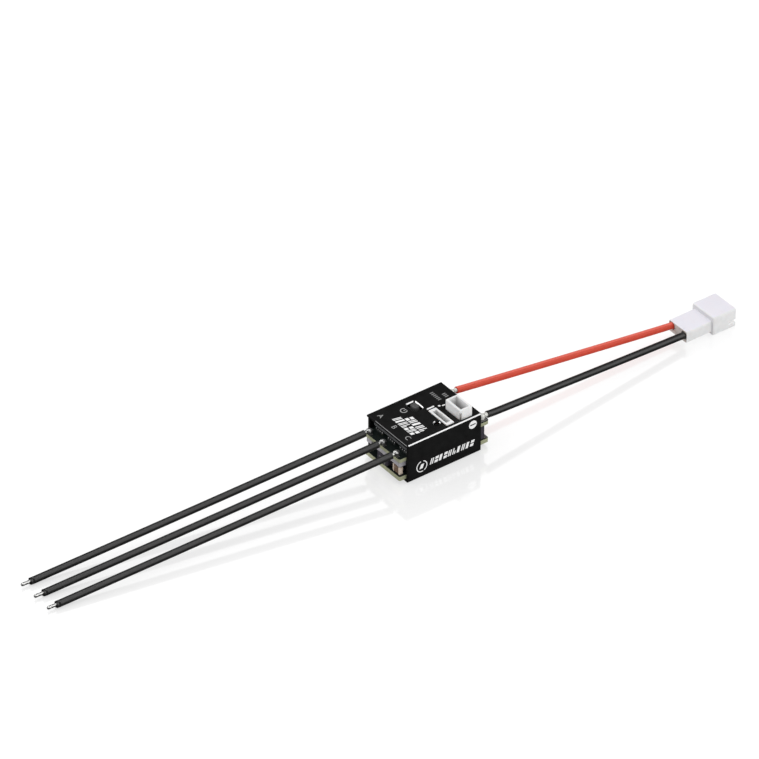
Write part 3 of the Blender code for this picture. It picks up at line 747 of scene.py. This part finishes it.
def make_cover():
    """Folded cover: black, bare on the top's side and window chamfers, a painted highlight on its front
    edge.
    """
    low, high = span("cover_shell")
    half, top, ceiling, inner = high.y, high.z, high.z - COVER_TOP, COVER_INNER_FOLD
    right = [(half - LIP_REACH, 0.0), *arc((half - COVER_FOLD, COVER_FOLD), COVER_FOLD, -90, 0)]
    right += [(half, top - COVER_CHAMFER), (half - COVER_CHAMFER, top)]
    inside = [
        *arc((half - COVER_WALL - inner, ceiling - inner), inner, 90, 0, 3),
        *arc((half - COVER_WALL - inner, LIP_HEIGHT + inner), inner, 0, -90, 3),
        (half - LIP_REACH, LIP_HEIGHT),
    ]
    outline = right + [(-y, z) for y, z in reversed(right)]
    outline += [(-y, z) for y, z in reversed(inside)] + inside
    shape = prism(outline, low.x, high.x, "X")
    round_edges(shape, [edge for edge in shape.edges if lies(edge, x=low.x, z=top)], FRONT_CHAMFER, 1, 0.0)
    feet = [edge for edge in shape.edges if lies(edge, z=0.0) and lies(edge, x=edge.verts[0].co.x)]
    round_edges(shape, feet, LIP_CORNER, 4)
    split(shape, (0.0, FRONT_HIGHLIGHT_Y, 0.0), (0.0, 1.0, 0.0))
    split(shape, (SIDE_BARE_X, 0.0, 0.0), (1.0, 0.0, 0.0))
    cover = Form().add(shape, "paint").item("cover")
    setback = block((low.x - 0.5, low.y - 0.5, low.z - 0.5), (low.x + WALL_SETBACK, high.y + 0.5, ceiling))
    carve(cover, setback, "paint")
    below, above = ceiling - 0.4, top + 0.5
    for mouth, throat in (BUTTON_WINDOW, PROGRAM_WINDOW, THROTTLE_WINDOW):
        levels = ((throat, below), (throat, top - WINDOW_CHAMFER), (mouth, top), (mouth, above))
        carve(cover, skinned([window(edges, level) for edges, level in levels]), "paint")
    wide, rise = LED_HOLE_RADIUS + LED_HOLE_CHAMFER, top - below
    profile = [(LED_HOLE_RADIUS, 0.0), (LED_HOLE_RADIUS, rise - LED_HOLE_CHAMFER)]
    profile += [(wide, rise), (wide, rise + 0.3)]
    carve(cover, lathe(profile, 40, at=(*LED_HOLE, below)), "paint")
    for finish in ("bare", "cut_edge_highlight"):
        cover.data.materials.append(MATERIALS[finish])
    cut_edge_highlight = len(cover.data.materials) - 1
    for face in cover.data.polygons:
        centre, normal = face.center / MM, face.normal
        if not (0.5 < normal.z < 0.9 and centre.z > top - COVER_CHAMFER - 0.01):
            continue
        if centre.x < low.x + FRONT_CHAMFER:
            # the front chamfer's grey, as far as it reaches, is painted highlight
            if centre.y < FRONT_HIGHLIGHT_Y and normal.x < -0.5:
                face.material_index = cut_edge_highlight
        elif centre.x > SIDE_BARE_X and max(normal.x, normal.y) > -0.1:
            # the windows' and the hole's chamfers stay black at their rear +Y corners: painted dark
            # reflection
            face.material_index = cut_edge_highlight - 1
    soften(cover, EDGE_ROUNDING, 2, 30, 35)
    fit(cover, "cover", "cover_shell")


def window(edges, level):
    """A window's outline at a level."""
    return [(x, y, level) for x, y in rounded_rectangle(*edges, WINDOW_CORNER, 6)]


def lies(edge, x=None, z=None):
    """Whether an edge has both its ends at an x, a z, or both."""
    for vertex in edge.verts:
        if x is not None and abs(vertex.co.x - x) > NEAR:
            return False
        if z is not None and abs(vertex.co.z - z) > NEAR:
            return False
    return True


PRINT, PRINT_SINK = 0.02, 0.01  # how far ink stands above what it is printed on, and reaches below it
TICK, MARK_CORNER = 0.17, 0.08
# Fillings of the abstract slanted bars: parts as (left, right, bottom, top) shares of a bar's cell
CELLS = (
    ((0.0, 0.66, 0.0, 1.0),),
    ((0.0, 0.3, 0.0, 1.0), (0.5, 0.8, 0.0, 1.0)),
    ((0.0, 0.9, 0.0, 0.42), (0.0, 0.9, 0.58, 1.0)),
    ((0.0, 0.3, 0.0, 1.0), (0.5, 0.8, 0.0, 0.5)),
)
# Rows of bars: start, end, bottom and top as they are read, the cells' fillings, and how far a bar leans
TOP_BARS = (
    ((-2.85, 5.35, -8.1, -5.8), (1, 0, 1, 3, 2, 1, 2), 0.5),
    ((-1.2, 5.75, -5.5, -3.45), (2, 1, 0, 1, 3), 0.45),
)
SIDE_BARS = (-4.87, 8.65, 2.85, 4.55), (1, 2, 0, 2, 1, 3, 0, 1, 0, 2), 0.5
# Ticks beside the sockets: how many, the first one's y, their pitch, and where they start and end along X
TICKS = ((3, 3.7, 0.62, (7.75, 8.8)), (6, 5.75, 0.66, (5.6, 6.6)))


def printed(form, outline, axis, level, material="ink", rise=PRINT):
    """A flat printed mark on the face of the cover that looks along an axis."""
    form.add(prism(outline, level - PRINT_SINK, level + rise, axis), material, smooth=False)


def bar_marks(form, row, axis, level):
    """A row of abstract slanted bars. On top it is read along -Y, with its own top towards +X."""
    (start, end, bottom, top), cells, lean = row
    pitch, height = (end - start) / len(cells), top - bottom
    width = pitch * 0.84
    for number, kind in enumerate(cells):
        left = start + number * pitch
        for a, b, c, d in CELLS[kind]:
            outline = []
            for across, along in ((a, c), (b, c), (b, d), (a, d)):
                right, up = left + across * width + lean * along, bottom + along * height
                outline.append((up, -right) if axis == "Z" else (right, up))
            printed(form, outline, axis, level)


def letter(form, text, size, centre, level):
    """A plain capital on top, read along -Y with its top towards +X."""
    curve = bpy.data.curves.new("letter", "FONT")
    curve.body, curve.size, curve.align_x, curve.align_y = text, size, "CENTER", "CENTER"
    curve.extrude = PRINT / 2
    curve.offset = -0.02
    item = placed("letter", curve)
    data = evaluated(item)
    shape = bmesh.new()
    shape.from_mesh(data)
    turn = Matrix(((0, 1, 0, centre[0]), (-1, 0, 0, centre[1]), (0, 0, 1, level + PRINT / 2), (0, 0, 0, 1)))
    bmesh.ops.transform(shape, matrix=turn, verts=shape.verts)
    form.add(shape, "pale_ink", smooth=False)
    bpy.data.objects.remove(item)
    bpy.data.curves.remove(curve)
    bpy.data.meshes.remove(data)


def make_top_prints():
    """Letters of the motor leads, two rows of bars, a power sign, the sockets' ticks, a dot and a dash."""
    level = span("cover_shell")[1].z
    form = Form()
    for text, y in zip("ABC", (5.5, 0.0, -5.5)):
        letter(form, text, 2.05, (-9.55, y), level)
    for row in TOP_BARS:
        bar_marks(form, row, "Z", level)
    printed(form, ring((-3.65, 4.0), 0.92, 0.7, 35, 325), "Z", level, "pale_ink")
    printed(form, rounded_rectangle(-3.7, -2.85, 3.9, 4.1, MARK_CORNER, 2), "Z", level, "pale_ink")
    for count, first, pitch, reach in TICKS:
        for tick in range(count):
            y = first - pitch * tick
            outline = rounded_rectangle(*reach, y - TICK, y + TICK, MARK_CORNER, 2)
            printed(form, outline, "Z", level, "grey_ink")
    printed(form, arc((4.45, 0.42), 0.32, 0, 345, 23), "Z", level)
    printed(form, rounded_rectangle(5.0, 5.9, -0.2, 0.2, MARK_CORNER, 2), "Z", level)
    fit(form.item("top_prints"), "cover")


def make_side_prints():
    """A row of bars, a plain ring with a slanted bar, and the battery leads' minus and plus signs."""
    low, high = span("cover_shell")
    form = Form()
    level = -low.y
    bar_marks(form, SIDE_BARS, "-Y", level)
    for start, end in ((100, 285), (-62, 72)):
        printed(form, ring((-7.24, 3.47), 1.65, 1.4, start, end), "-Y", level)
    printed(form, [(-7.95, 2.85), (-7.0, 2.85), (-6.55, 4.1), (-7.5, 4.1)], "-Y", level)
    printed(form, arc((8.2, 9.2), 1.17, 0, 350, 35), "-Y", level)
    printed(form, rounded_rectangle(7.32, 9.08, 9.05, 9.36, 0.1, 2), "-Y", level, "paint", 0.03)
    printed(form, arc((-8.33, 9.0), 1.22, 0, 350, 35), "Y", high.y)
    printed(form, rounded_rectangle(-9.06, -7.6, 8.82, 9.18, 0.1, 2), "Y", high.y, "paint", 0.035)
    printed(form, rounded_rectangle(-8.51, -8.15, 8.27, 9.73, 0.1, 2), "Y", high.y, "paint", 0.036)
    fit(form.item("side_prints"), "cover")


# ---------------------------------------------------------------- boards and what stands on them

BOARD_CORNER, BOARD_SKIN = 0.5, 0.2
PAD_SINK, PAD_RISE, PAD_CORNER = 0.01, 0.035, 0.2
VIA_PROFILE = ((0.0, -0.01), (0.22, -0.01), (0.22, 0.012), (0.12, 0.016), (0.1, -0.004), (0.0, -0.004))
VIA_MARGIN, VIA_CLEARANCE = 0.7, 0.3


def make_board(name, node, pads, vias, skin=0.0):
    """Printed board: masked faces, cut laminate edges with a dark skin, tinned pads and plated holes."""
    low, high = span(node)
    shape = prism(rounded_rectangle(low.x, high.x, low.y, high.y, BOARD_CORNER), low.z, high.z)
    if skin > 0.0:
        split(shape, (0, 0, high.z - skin), (0, 0, 1))
    form = Form()
    form.index("mask")
    form.index("laminate")
    form.add(shape, "laminate")
    for face in form.shape.faces:
        if abs(face.normal.z) > 0.5 or face.calc_center_median().z > high.z - skin:
            face.material_index = form.index("mask")
    for edges in pads:
        pad = rounded_rectangle(*edges, PAD_CORNER, 3)
        form.add(prism(pad, high.z - PAD_SINK, high.z + PAD_RISE), "dull_tin")
    for x, y in vias:
        for level, side in ((high.z, 1), (low.z, -1)):
            form.add(lathe(VIA_PROFILE, 12, (0, 0, side), (x, y, level)), "brass")
    fit(form.item(name, 35), "board", node)


def scatter(low, high, count, taken):
    """Seeded places for plated holes, clear of one another and of the places that are taken."""
    edge, gap, places = VIA_MARGIN, VIA_CLEARANCE, []
    while len(places) < count:
        x, y = random.uniform(low.x + edge, high.x - edge), random.uniform(low.y + edge, high.y - edge)
        clear = all((x - a) ** 2 + (y - b) ** 2 > 0.8 for a, b in places)
        if clear and not any(a - gap < x < b + gap and c - gap < y < d + gap for a, b, c, d in taken):
            places.append((x, y))
    return places


def make_boards():
    """Both boards, with pads near their ends."""
    upper = [(-13.15, -12.3, y - 0.8, y + 0.8) for y in (5.5, 0.0, -5.5)]
    upper += [(11.4, 13.75, y - 0.95, y + 0.95) for y in (6.1, -6.1)]
    lower = [(12.9, 13.8, y - 1.1, y + 1.1) for y in (5.9, -5.9)]
    low, high = span("upper_board")
    make_board("board_upper", "upper_board", upper, scatter(low, high, 46, upper), BOARD_SKIN)
    make_board("board_lower", "lower_board", lower, scatter(low, high, 40, lower))


def terminals(form, low, high, axis, share, material="dull_tin", grow=0.03):
    """End caps of a small part: each takes up a share of its length."""
    for a, b in end_boxes(low, high, axis, share * (high[axis] - low[axis])):
        for other in {0, 1, 2} - {axis}:
            a[other] -= grow
            b[other] += grow
        form.add(block(a, b, 0.1, 3), material)


def make_ceramic_part(number, material, slot, caps, layers=1):
    """Ceramic capacitor, or a stack of them, with tinned ends, smooth and slightly pillowed."""
    node = f"ceramic_capacitor_{number}"
    low, high = span(node)
    form = Form()
    inset, gap, setback = Vector((0.03, 0.03, 0.03)), 0.04, 0.05
    rise = (high.z - low.z) / layers
    for layer in range(layers):
        bottom, top = low + inset, high - inset
        bottom.z, top.z = low.z + layer * rise + gap, low.z + (layer + 1) * rise - gap
        terminals(form, bottom, top, 1, 0.2, caps)
        bottom.y += setback
        top.y -= setback
        form.add(block(bottom, top, 0.08, 3), material)
    fit(form.item(f"bypass_capacitor_{number}"), slot, node)


def make_chip(name, node, sides, count):
    """Moulded package with a drafted top, a pin mark, two plain laser bars and its terminals."""
    low, high = span(node)
    form = Form()
    margin, draft = 0.12, 0.985
    body_low = Vector((low.x + margin, low.y + margin, low.z + 0.02))
    body_high = Vector((high.x - margin, high.y - margin, high.z))
    shape = block(body_low, body_high, 0.06)
    centre = (body_low + body_high) / 2
    for vertex in shape.verts:
        if vertex.co.z > centre.z:
            pull(vertex, centre, draft, draft)
    form.add(shape, "epoxy")
    for axis in sides:
        other = 1 - axis
        pitch = (high[other] - low[other]) / count
        for a, b in end_boxes(low, high, axis, 0.3):
            b.z = low.z + 0.24
            for number in range(count):
                middle = low[other] + pitch * (number + 0.5)
                a[other], b[other] = middle - pitch * 0.28, middle + pitch * 0.28
                form.add(block(a, b, 0.03, 1), "solder")
    width, depth = high.x - low.x, high.y - low.y
    spot = (low.x + 0.17 * width, low.y + 0.17 * depth, high.z - 0.012)
    radius = 0.07 * min(width, depth)
    form.add(lathe([(0.0, 0.0), (radius, 0.0), (radius, 0.018), (0.0, 0.018)], 20, at=spot), "grey_ink")
    for line in range(2):
        x = centre.x - 0.1 * width + line * 0.22 * width
        y_low, y_high = centre.y - 0.26 * depth, centre.y + (0.26 - 0.12 * line) * depth
        outline = rounded_rectangle(x - 0.04 * width, x + 0.04 * width, y_low, y_high, 0.03 * width, 2)
        form.add(prism(outline, high.z - 0.01, high.z + 0.006), "grey_ink", smooth=False)
    fit(form.item(name), "chip_black", node)


def make_power_stage():
    """Six transistors under the cooling pad, whose front and rear edges are a little wavy."""
    for number in range(1, 7):
        make_chip(f"transistor_{number}", f"mosfet_{number}", (0,), 4)
    low, high = span("thermal_pad")
    shape = block(low, high, 0.12, 3)
    bmesh.ops.subdivide_edges(shape, edges=list(shape.edges), cuts=2, use_grid_fill=True)
    for vertex in shape.verts:
        if abs(vertex.co.x - low.x) < 0.2 or abs(vertex.co.x - high.x) < 0.2:
            vertex.co.x += 0.08 * noise.noise(vertex.co * 0.9)
    fit(Form().add(shape, "pad").item("cooling_pad"), "thermal_pad", "thermal_pad")


def make_polymer_part(number):
    """Moulded capacitor: dark body with a light polarity band and folded tinned ends."""
    node = f"polymer_capacitor_{number}"
    low, high = span(node)
    inset, margin = Vector((0.06, 0.06, 0.0)), Vector((0.1, 0.1, 0.0))
    form = Form().add(block(low + inset + Vector((0, 0, 0.05)), high - inset, 0.12, 3), "resin")
    for a, b in end_boxes(low, high, 0, 0.12):
        a.y += 0.9
        b.y -= 0.9
        b.z = low.z + 0.66 * (high.z - low.z)
        form.add(block(a, b, 0.05), "dull_tin")
    band_low, band_high = low + inset, high - inset
    band_low.x, band_low.z = high.x - 1.5, high.z - 0.05
    band_high.x, band_high.z = high.x - 0.5, high.z + 0.008
    form.add(block(band_low + margin, band_high - margin), "grey_ink")
    fit(form.item(f"bulk_capacitor_{number}"), "chip_black", node)


def make_lamp():
    """Status lamp: a white base with gold ends and a clear dome."""
    low, high = span("status_led")
    form = Form().add(block(low, Vector((high.x, high.y, low.z + 0.25)), 0.04), "socket")
    middle, reach, rise = (low + high) / 2, (high.x - low.x) / 2 - 0.3, high.z - low.z - 0.2
    dome = [(reach, 0.0), (reach * 0.97, rise * 0.55), (reach * 0.7, rise * 0.9), (0.0, rise)]
    shape = lathe(dome, 24, at=(middle.x, middle.y, low.z + 0.2))
    for vertex in shape.verts:
        pull(vertex, middle, 1.0, 0.78)
    form.add(shape, "lens")
    terminals(form, low, Vector((high.x, high.y, low.z + 0.26)), 0, 0.14, "gold", 0.01)
    fit(form.item("status_lamp", 60), "led_lens", "status_led")


def make_post(number):
    """Post between the boards, flared at both ends."""
    node = f"interboard_pin_{number}"
    low, high = span(node)
    centre, height, radius = (low + high) / 2, high.z - low.z, (high.x - low.x) / 2
    profile = [(radius * 1.9, 0.0), (radius * 1.5, 0.12), (radius, 0.4), (radius, height - 0.4)]
    profile += [(radius * 1.5, height - 0.12), (radius * 1.9, height)]
    form = Form().add(lathe(profile, 24, at=(centre.x, centre.y, low.z)), "brass")
    fit(form.item(f"board_post_{number}", 50), "solder", node)


def make_passives():
    """Everything on the boards but the transistors, the switch and the sockets."""
    for number in (1, 2):
        make_polymer_part(number)
    make_ceramic_part(1, "tan", "ceramic_tan", "tan_tin", 2)
    for number in (2, 3, 4):
        make_ceramic_part(number, "grey", "ceramic_grey", "grey")
    low, high = span("bec_inductor")
    form = Form().add(block(low + Vector((0, 0.1, 0.05)), high - Vector((0, 0.1, 0)), 0.35, 4), "alloy")
    for a, b in end_boxes(low, high, 1, 0.25):
        form.add(block((a.x + 0.6, a.y, a.z), (b.x - 0.6, b.y, a.z + 1.3), 0.08), "solder")
    fit(form.item("coil_block"), "inductor_alloy", "bec_inductor")
    low, high = span("shunt_resistor")
    form = Form().add(block(low, high, 0.06), "shunt")
    terminals(form, low, high, 1, 0.24, "dull_tin", 0.02)
    fit(form.item("current_shunt"), "shunt_metal", "shunt_resistor")
    low, high = span("resonator")
    form = Form().add(block(low, Vector((high.x, high.y, low.z + 0.35)), 0.06), "tan")
    form.add(block(low + Vector((0.15, 0.12, 0.3)), high - Vector((0.15, 0.12, 0)), 0.14, 4), "nickel")
    fit(form.item("clock_can"), "resonator_can", "resonator")
    make_lamp()
    make_chip("controller_chip", "microcontroller", (0, 1), 7)
    make_chip("driver_chip", "gate_driver", (0, 1), 6)
    make_chip("regulator_chip", "bec_regulator", (0,), 4)
    for number in range(1, 5):
        make_post(number)


# ---------------------------------------------------------------- button and sockets

BUTTON_GAP, TAB = 0.12, 0.5
SOCKET_FLARE, SOCKET_DRAFT = 0.12, 0.94


def make_switch():
    """Low push switch with its corner tabs, and the plunger that moves in it."""
    low, high = span("power_switch_body")
    b_low, b_high = span("power_button")
    gap = BUTTON_GAP
    item = Form().add(block(low, high, 0.15, 3), "switch").item("switch_base")
    hole = rounded_rectangle(b_low.x - gap, b_high.x + gap, b_low.y - gap, b_high.y + gap, 0.25, 4)
    carve(item, prism(hole, low.z + 0.4, high.z + 0.5), "switch")
    soften(item, 0.04)
    fit(item, "switch_black", "power_switch_body")
    form = Form()
    for x in (low.x, high.x - TAB):
        for y in (low.y - TAB / 2, high.y - TAB / 2):
            form.add(block((x, y, low.z), (x + TAB, y + TAB, low.z + 0.2), 0.05), "solder")
    fit(form.item("switch_tabs"), "switch_black")
    shape = prism(rounded_rectangle(b_low.x, b_high.x, b_low.y, b_high.y, 0.3), b_low.z, b_high.z)
    round_edges(shape, [edge for edge in shape.edges if lies(edge, z=b_high.z)], 0.2, 4, 0.6)
    for thickness, depth, corners in ((0.2, 0.0, 0), (0.08, -0.05, 8)):
        top = [face for face in shape.faces if face.calc_center_median().z > b_high.z - NEAR]
        top = [face for face in top if len(face.verts) > corners]
        bmesh.ops.inset_region(shape, faces=top, thickness=thickness, depth=depth)
    fit(Form().add(shape, "button").item("button_cap"), "button_grey", "power_button", body=BUTTON_BODY)


def pin(low, high, point=0.25, tip_share=0.45):
    """Square contact with a pointed top."""
    shape = block(low, high)
    centre = (low + high) / 2
    top = [vertex for vertex in shape.verts if vertex.co.z > centre.z]
    faces = [face for face in shape.faces if all(vertex in top for vertex in face.verts)]
    raised = bmesh.ops.extrude_face_region(shape, geom=faces)
    tip = [item for item in raised["geom"] if isinstance(item, bmesh.types.BMVert)]
    bmesh.ops.delete(shape, geom=faces, context="FACES_ONLY")
    bmesh.ops.translate(shape, vec=(0, 0, -point), verts=top)
    for vertex in tip:
        pull(vertex, centre, tip_share, tip_share)
    return shape


def make_socket(name, node, inside, rim, floor, corner, pins, notch_top=None):
    """Shrouded header: drafted cavity with a chamfered mouth, polarising slot and tinned feet."""
    low, high = span(node)
    middle, flare = (low + high) / 2, SOCKET_FLARE
    item = Form().add(block(low, high, 0.14, 3), "socket").item(name)
    x_low, x_high, y_low, y_high = low.x + rim[0], high.x - rim[0], low.y + rim[1], high.y - rim[1]
    shape = prism(rounded_rectangle(x_low, x_high, y_low, y_high, corner, 4), floor, high.z + 0.5)
    for vertex in shape.verts:
        if vertex.co.z < middle.z:
            pull(vertex, middle, SOCKET_DRAFT, (SOCKET_DRAFT + 1) / 2)
    # the cavity's faces take painted shade, darker towards its floor
    carve(item, shape, inside)
    mouth = rounded_rectangle(x_low - flare, x_high + flare, y_low - flare, y_high + flare, corner, 4)
    shape = prism(mouth, high.z - flare, high.z + 0.4)
    width, depth = x_high - x_low, y_high - y_low
    for vertex in shape.verts:
        if vertex.co.z < high.z:
            pull(vertex, middle, width / (width + 2 * flare), depth / (depth + 2 * flare))
    carve(item, shape, "socket")
    if notch_top:
        # the notch is lined with painted shade
        notch = block((low.x - 0.5, low.y - 0.5, low.z - 0.5), (low.x + 0.4, low.y + 0.4, notch_top))
        carve(item, notch, "plug_painted_shade")
    soften(item, EDGE_ROUNDING, 2, 32)
    fit(item, "socket_white", node)
    form = Form()
    for pin_node in pins:
        a, b = span(pin_node)
        form.add(pin(a, b), "nickel")
        y = (a.y + b.y) / 2
        foot = (low.x - 0.45, y - 0.15, low.z), (low.x + 0.1, y + 0.15, low.z + 0.18)
        form.add(block(*foot, 0.04), "solder")
    fit(form.item(name + "_contacts"), "contact_tin", *pins)


def make_sockets():
    throttle = [f"throttle_pin_{number}" for number in (1, 2, 3)]
    program = [f"program_contact_{number}" for number in range(1, 7)]
    make_socket(
        "throttle_header", "throttle_socket", "throttle_painted_shade", (0.55, 0.55), 9.6, 0.15, throttle, 13.3
    )
    make_socket("program_header", "program_socket", "program_painted_shade", (0.5, 0.95), 9.0, 0.12, program)


# ---------------------------------------------------------------- solder joints and plug


def make_joint(name, node, away, material, strands, shift, share):
    """Frozen solder over a lead's strands: a wrinkled mound that flows out onto its pad."""
    low, high = span(node)
    centre, size = (low + high) / 2, high - low
    deck = span("upper_board")[1].z
    shape = bmesh.new()
    bmesh.ops.create_uvsphere(shape, u_segments=36, v_segments=22, radius=1.0)
    for vertex in shape.verts:
        unit = vertex.co.copy()
        spread = 1.0 + 0.28 * max(0.0, -unit.z - 0.25)
        spread -= 0.12 * max(0.0, unit.x * away)
        lump = 1.0 + 0.07 * noise.noise(unit * 1.6 + centre) + 0.03 * noise.noise(unit * 4.1 + centre)
        vertex.co.x = centre.x - shift * away + unit.x * size.x * share * lump
        vertex.co.y = centre.y + unit.y * size.y * 0.5 * spread * lump
        reach = size.z / 2 if unit.z > 0.0 else centre.z - deck + 0.08
        vertex.co.z = max(centre.z + unit.z * reach * lump, deck - 0.03)
    form = Form().add(shape, material)
    end = high.x if away > 0 else low.x
    heading = (float(away), 0.0, 0.0)
    start = (end - 0.75 * away, centre.y, centre.z)
    ripple = strand_ripple(9, 1.1, 0.13)
    profile = [(0.5, 0.0), (0.55, 0.15), (0.58, 0.35), (0.6, 0.55), (0.6, 0.74)]
    form.add(lathe(profile, 45, heading, start, ripple), strands)
    return fit(form.item(name, 60), "solder", node)


# How far a joint's mound is shifted inwards, and its half length as a share of its CAD node's
MOTOR_MOUND, BATTERY_MOUND = (0.1, 0.43), (0.4, 0.36)


def make_joints():
    """All five joints, by the names of their leads."""
    joints = {}
    for name in "abc":
        joint = f"motor_joint_{name}", f"solder_joint_{name}"
        joints[name] = make_joint(*joint, -1, "solder", "strands", *MOTOR_MOUND)
    for name in ("positive", "negative"):
        joint = f"battery_joint_{name}", f"solder_joint_{name}"
        joints[name] = make_joint(*joint, 1, "pale_solder", "pale_solder", *BATTERY_MOUND)
    return joints


# Plug: where its wide front starts, its narrow rear's size and lowest z, and its long edges' roundings
PLUG_STEP, PLUG_REAR_SIZE, PLUG_REAR_Z = 86.4, (7.2, 3.35), 0.8
PLUG_FRONT_ROUNDING, PLUG_REAR_ROUNDING = 0.6, 0.55
PLUG_FRONT_RIMS, PLUG_REAR_RIMS, RIM_STEPS = (0.32, 0.12), (0.14, 0.02), 4
PLUG_ENTRY, PLUG_ENTRY_DEPTH = 1.9, 1.5
PLUG_WALL, PLUG_CAVITY = 1.1, 5.6
PLUG_GROOVE = (2.2, 0.7, 1.35, 0.95)  # length, depth, lowest z, height


def moulded_bar(edges, radius, x_low, x_high, rims):
    """A bar along X with rounded long edges, each of its ends rounded by its own radius."""
    y_low, y_high, z_low, z_high = edges
    loops = []
    for end, rim, way in ((x_low, rims[0], 1), (x_high, rims[1], -1)):
        for step in range(RIM_STEPS + 1)[::way]:
            angle = math.radians(90 * step / RIM_STEPS)
            inset, x = rim * (1 - math.sin(angle)), end + way * rim * (1 - math.cos(angle))
            inner = (y_low + inset, y_high - inset, z_low + inset, z_high - inset)
            loops.append([(x, y, z) for y, z in rounded_rectangle(*inner, radius - inset)])
    return skinned(loops)


def make_plug():
    """Two-way battery plug: a narrow rear that the leads enter and a wide open front with two pins."""
    low, high = span("battery_plug_housing")
    y = (low.y + high.y) / 2
    width, depth = PLUG_REAR_SIZE
    front_box = (low.y, high.y, low.z, high.z)
    rear_box = (y - width / 2, y + width / 2, PLUG_REAR_Z, PLUG_REAR_Z + depth)
    front = moulded_bar(front_box, PLUG_FRONT_ROUNDING, PLUG_STEP, high.x, PLUG_FRONT_RIMS)
    rear = moulded_bar(rear_box, PLUG_REAR_ROUNDING, low.x, PLUG_STEP + 1.0, PLUG_REAR_RIMS)
    item = Form().add(front, "plug").item("battery_plug")
    carve(item, rear, "plug", "UNION")
    inner = (low.y + PLUG_WALL, high.y - PLUG_WALL, low.z + PLUG_WALL, high.z - PLUG_WALL)
    carve(item, prism(rounded_rectangle(*inner, 0.25, 4), high.x - PLUG_CAVITY, high.x + 1.0, "X"), "plug")
    length, groove_depth, groove_z, groove_height = PLUG_GROOVE
    # the grooves' faces take a brighter nylon: painted light
    for side in (low.y, high.y):
        groove_low = (high.x - length, side - groove_depth, groove_z)
        groove_high = (high.x + 1.0, side + groove_depth, groove_z + groove_height)
        carve(item, block(groove_low, groove_high), "plug_lip_painted_light")
    # the lead entries are lined with painted shade
    for route in (POSITIVE_ROUTE, NEGATIVE_ROUTE):
        _, lead_y, lead_z = route[-1]
        reach = PLUG_ENTRY / 2
        entry = rounded_rectangle(lead_y - reach, lead_y + reach, lead_z - reach, lead_z + reach, 0.6, 6)
        carve(item, prism(entry, low.x - 1.0, low.x + PLUG_ENTRY_DEPTH, "X"), "plug_painted_shade")
    # painted shade: darker nylon on the rear face and on the wide front's step face
    for finish, x in (("plug_rear_painted_shade", low.x), ("plug_shade", PLUG_STEP)):
        item.data.materials.append(MATERIALS[finish])
        for face in item.data.polygons:
            if face.normal.x < -0.9 and abs(face.center.x / MM - x) < 0.01:
                face.material_index = len(item.data.materials) - 1
    soften(item, 0.14, 3, 32)
    form = Form()
    for number in (1, 2):
        a, b = span(f"battery_plug_pin_{number}")
        centre, radius, length = (a + b) / 2, (b.y - a.y) / 2, b.x - a.x
        profile = [(0.0, -0.3), (radius, -0.3), (radius, length - 0.45), (radius * 0.85, length - 0.2)]
        profile += [(radius * 0.45, length - 0.04), (0.0, length)]
        form.add(lathe(profile, 24, (1, 0, 0), (a.x, centre.y, centre.z)), "nickel")
    pins = form.item("plug_pins", 50)
    fit(pins, "solder", "battery_plug_pin_1", "battery_plug_pin_2")
    fit(item, "plug_white", "battery_plug_housing")
    return item, pins


# ---------------------------------------------------------------- stage


# Lights: where each stands (metres from the middle of the object), its size, and its power in watts
LIGHTS = {
    "overhead": ((0.0, 0.1, 1.5), (1.0, 1.0), 5.0),
    "key": ((0.75, -0.97, 0.84), (1.8, 1.7), 11.5),
    "fill": ((-0.85, 0.93, 0.7), (1.5, 1.2), 10.5),
    "backdrop": ((0.77, 1.04, 0.95), (1.0, 1.0), 3.6),
}
# How bright the surround is as a light, and as what shiny surfaces mirror
SURROUND, MIRRORED_SURROUND = 0.43, 0.03


def make_light(name, place, size, power):
    data = bpy.data.lights.new(name, "AREA")
    data.shape, data.size, data.size_y = "RECTANGLE", size[0], size[1]
    data.energy = power
    light = placed(name, data)
    light.location = place
    light.rotation_mode = "QUATERNION"
    light.rotation_quaternion = (-Vector(place)).to_track_quat("-Z", "Y")
    return light


def make_stage():
    """A pale glossy floor, soft light from several sides, and a pale surround."""
    shape = bmesh.new()
    bmesh.ops.create_grid(shape, x_segments=8, y_segments=8, size=2500.0)
    bmesh.ops.translate(shape, vec=(0.0, 0.0, -0.05), verts=shape.verts)
    floor = Form().add(shape, "floor").item("floor")
    floor.visible_glossy = False  # the object's shiny parts would mirror it too brightly
    lights = {name: make_light(name, *facts) for name, facts in LIGHTS.items()}
    # the backdrop is only there for the floor to mirror
    only_floor = bpy.data.collections.new("lit_by_backdrop")
    only_floor.objects.link(floor)
    lights["backdrop"].light_linking.receiver_collection = only_floor
    world = bpy.data.worlds.new("surround")
    world.use_nodes = True
    tree = world.node_tree
    background = tree.nodes["Background"]
    path = tree.nodes.new("ShaderNodeLightPath")
    strength = tree.nodes.new("ShaderNodeMix")
    strength.inputs["A"].default_value = SURROUND
    strength.inputs["B"].default_value = MIRRORED_SURROUND
    tree.links.new(path.outputs["Is Glossy Ray"], strength.inputs["Factor"])
    seen = tree.nodes.new("ShaderNodeMix")
    seen.inputs["B"].default_value = 1.0
    tree.links.new(strength.outputs["Result"], seen.inputs["A"])
    tree.links.new(path.outputs["Is Camera Ray"], seen.inputs["Factor"])
    background.inputs["Color"].default_value = (1.0, 1.0, 1.0, 1.0)
    tree.links.new(seen.outputs["Result"], background.inputs["Strength"])
    bpy.context.scene.world = world
    bpy.context.scene.view_settings.view_transform = "Standard"


def main():
    make_camera()
    joints = make_joints()
    make_motor_leads()
    make_battery_leads(make_plug())
    make_cover()
    make_top_prints()
    make_side_prints()
    make_boards()
    make_power_stage()
    make_passives()
    make_switch()
    make_sockets()
    make_stage()


main()
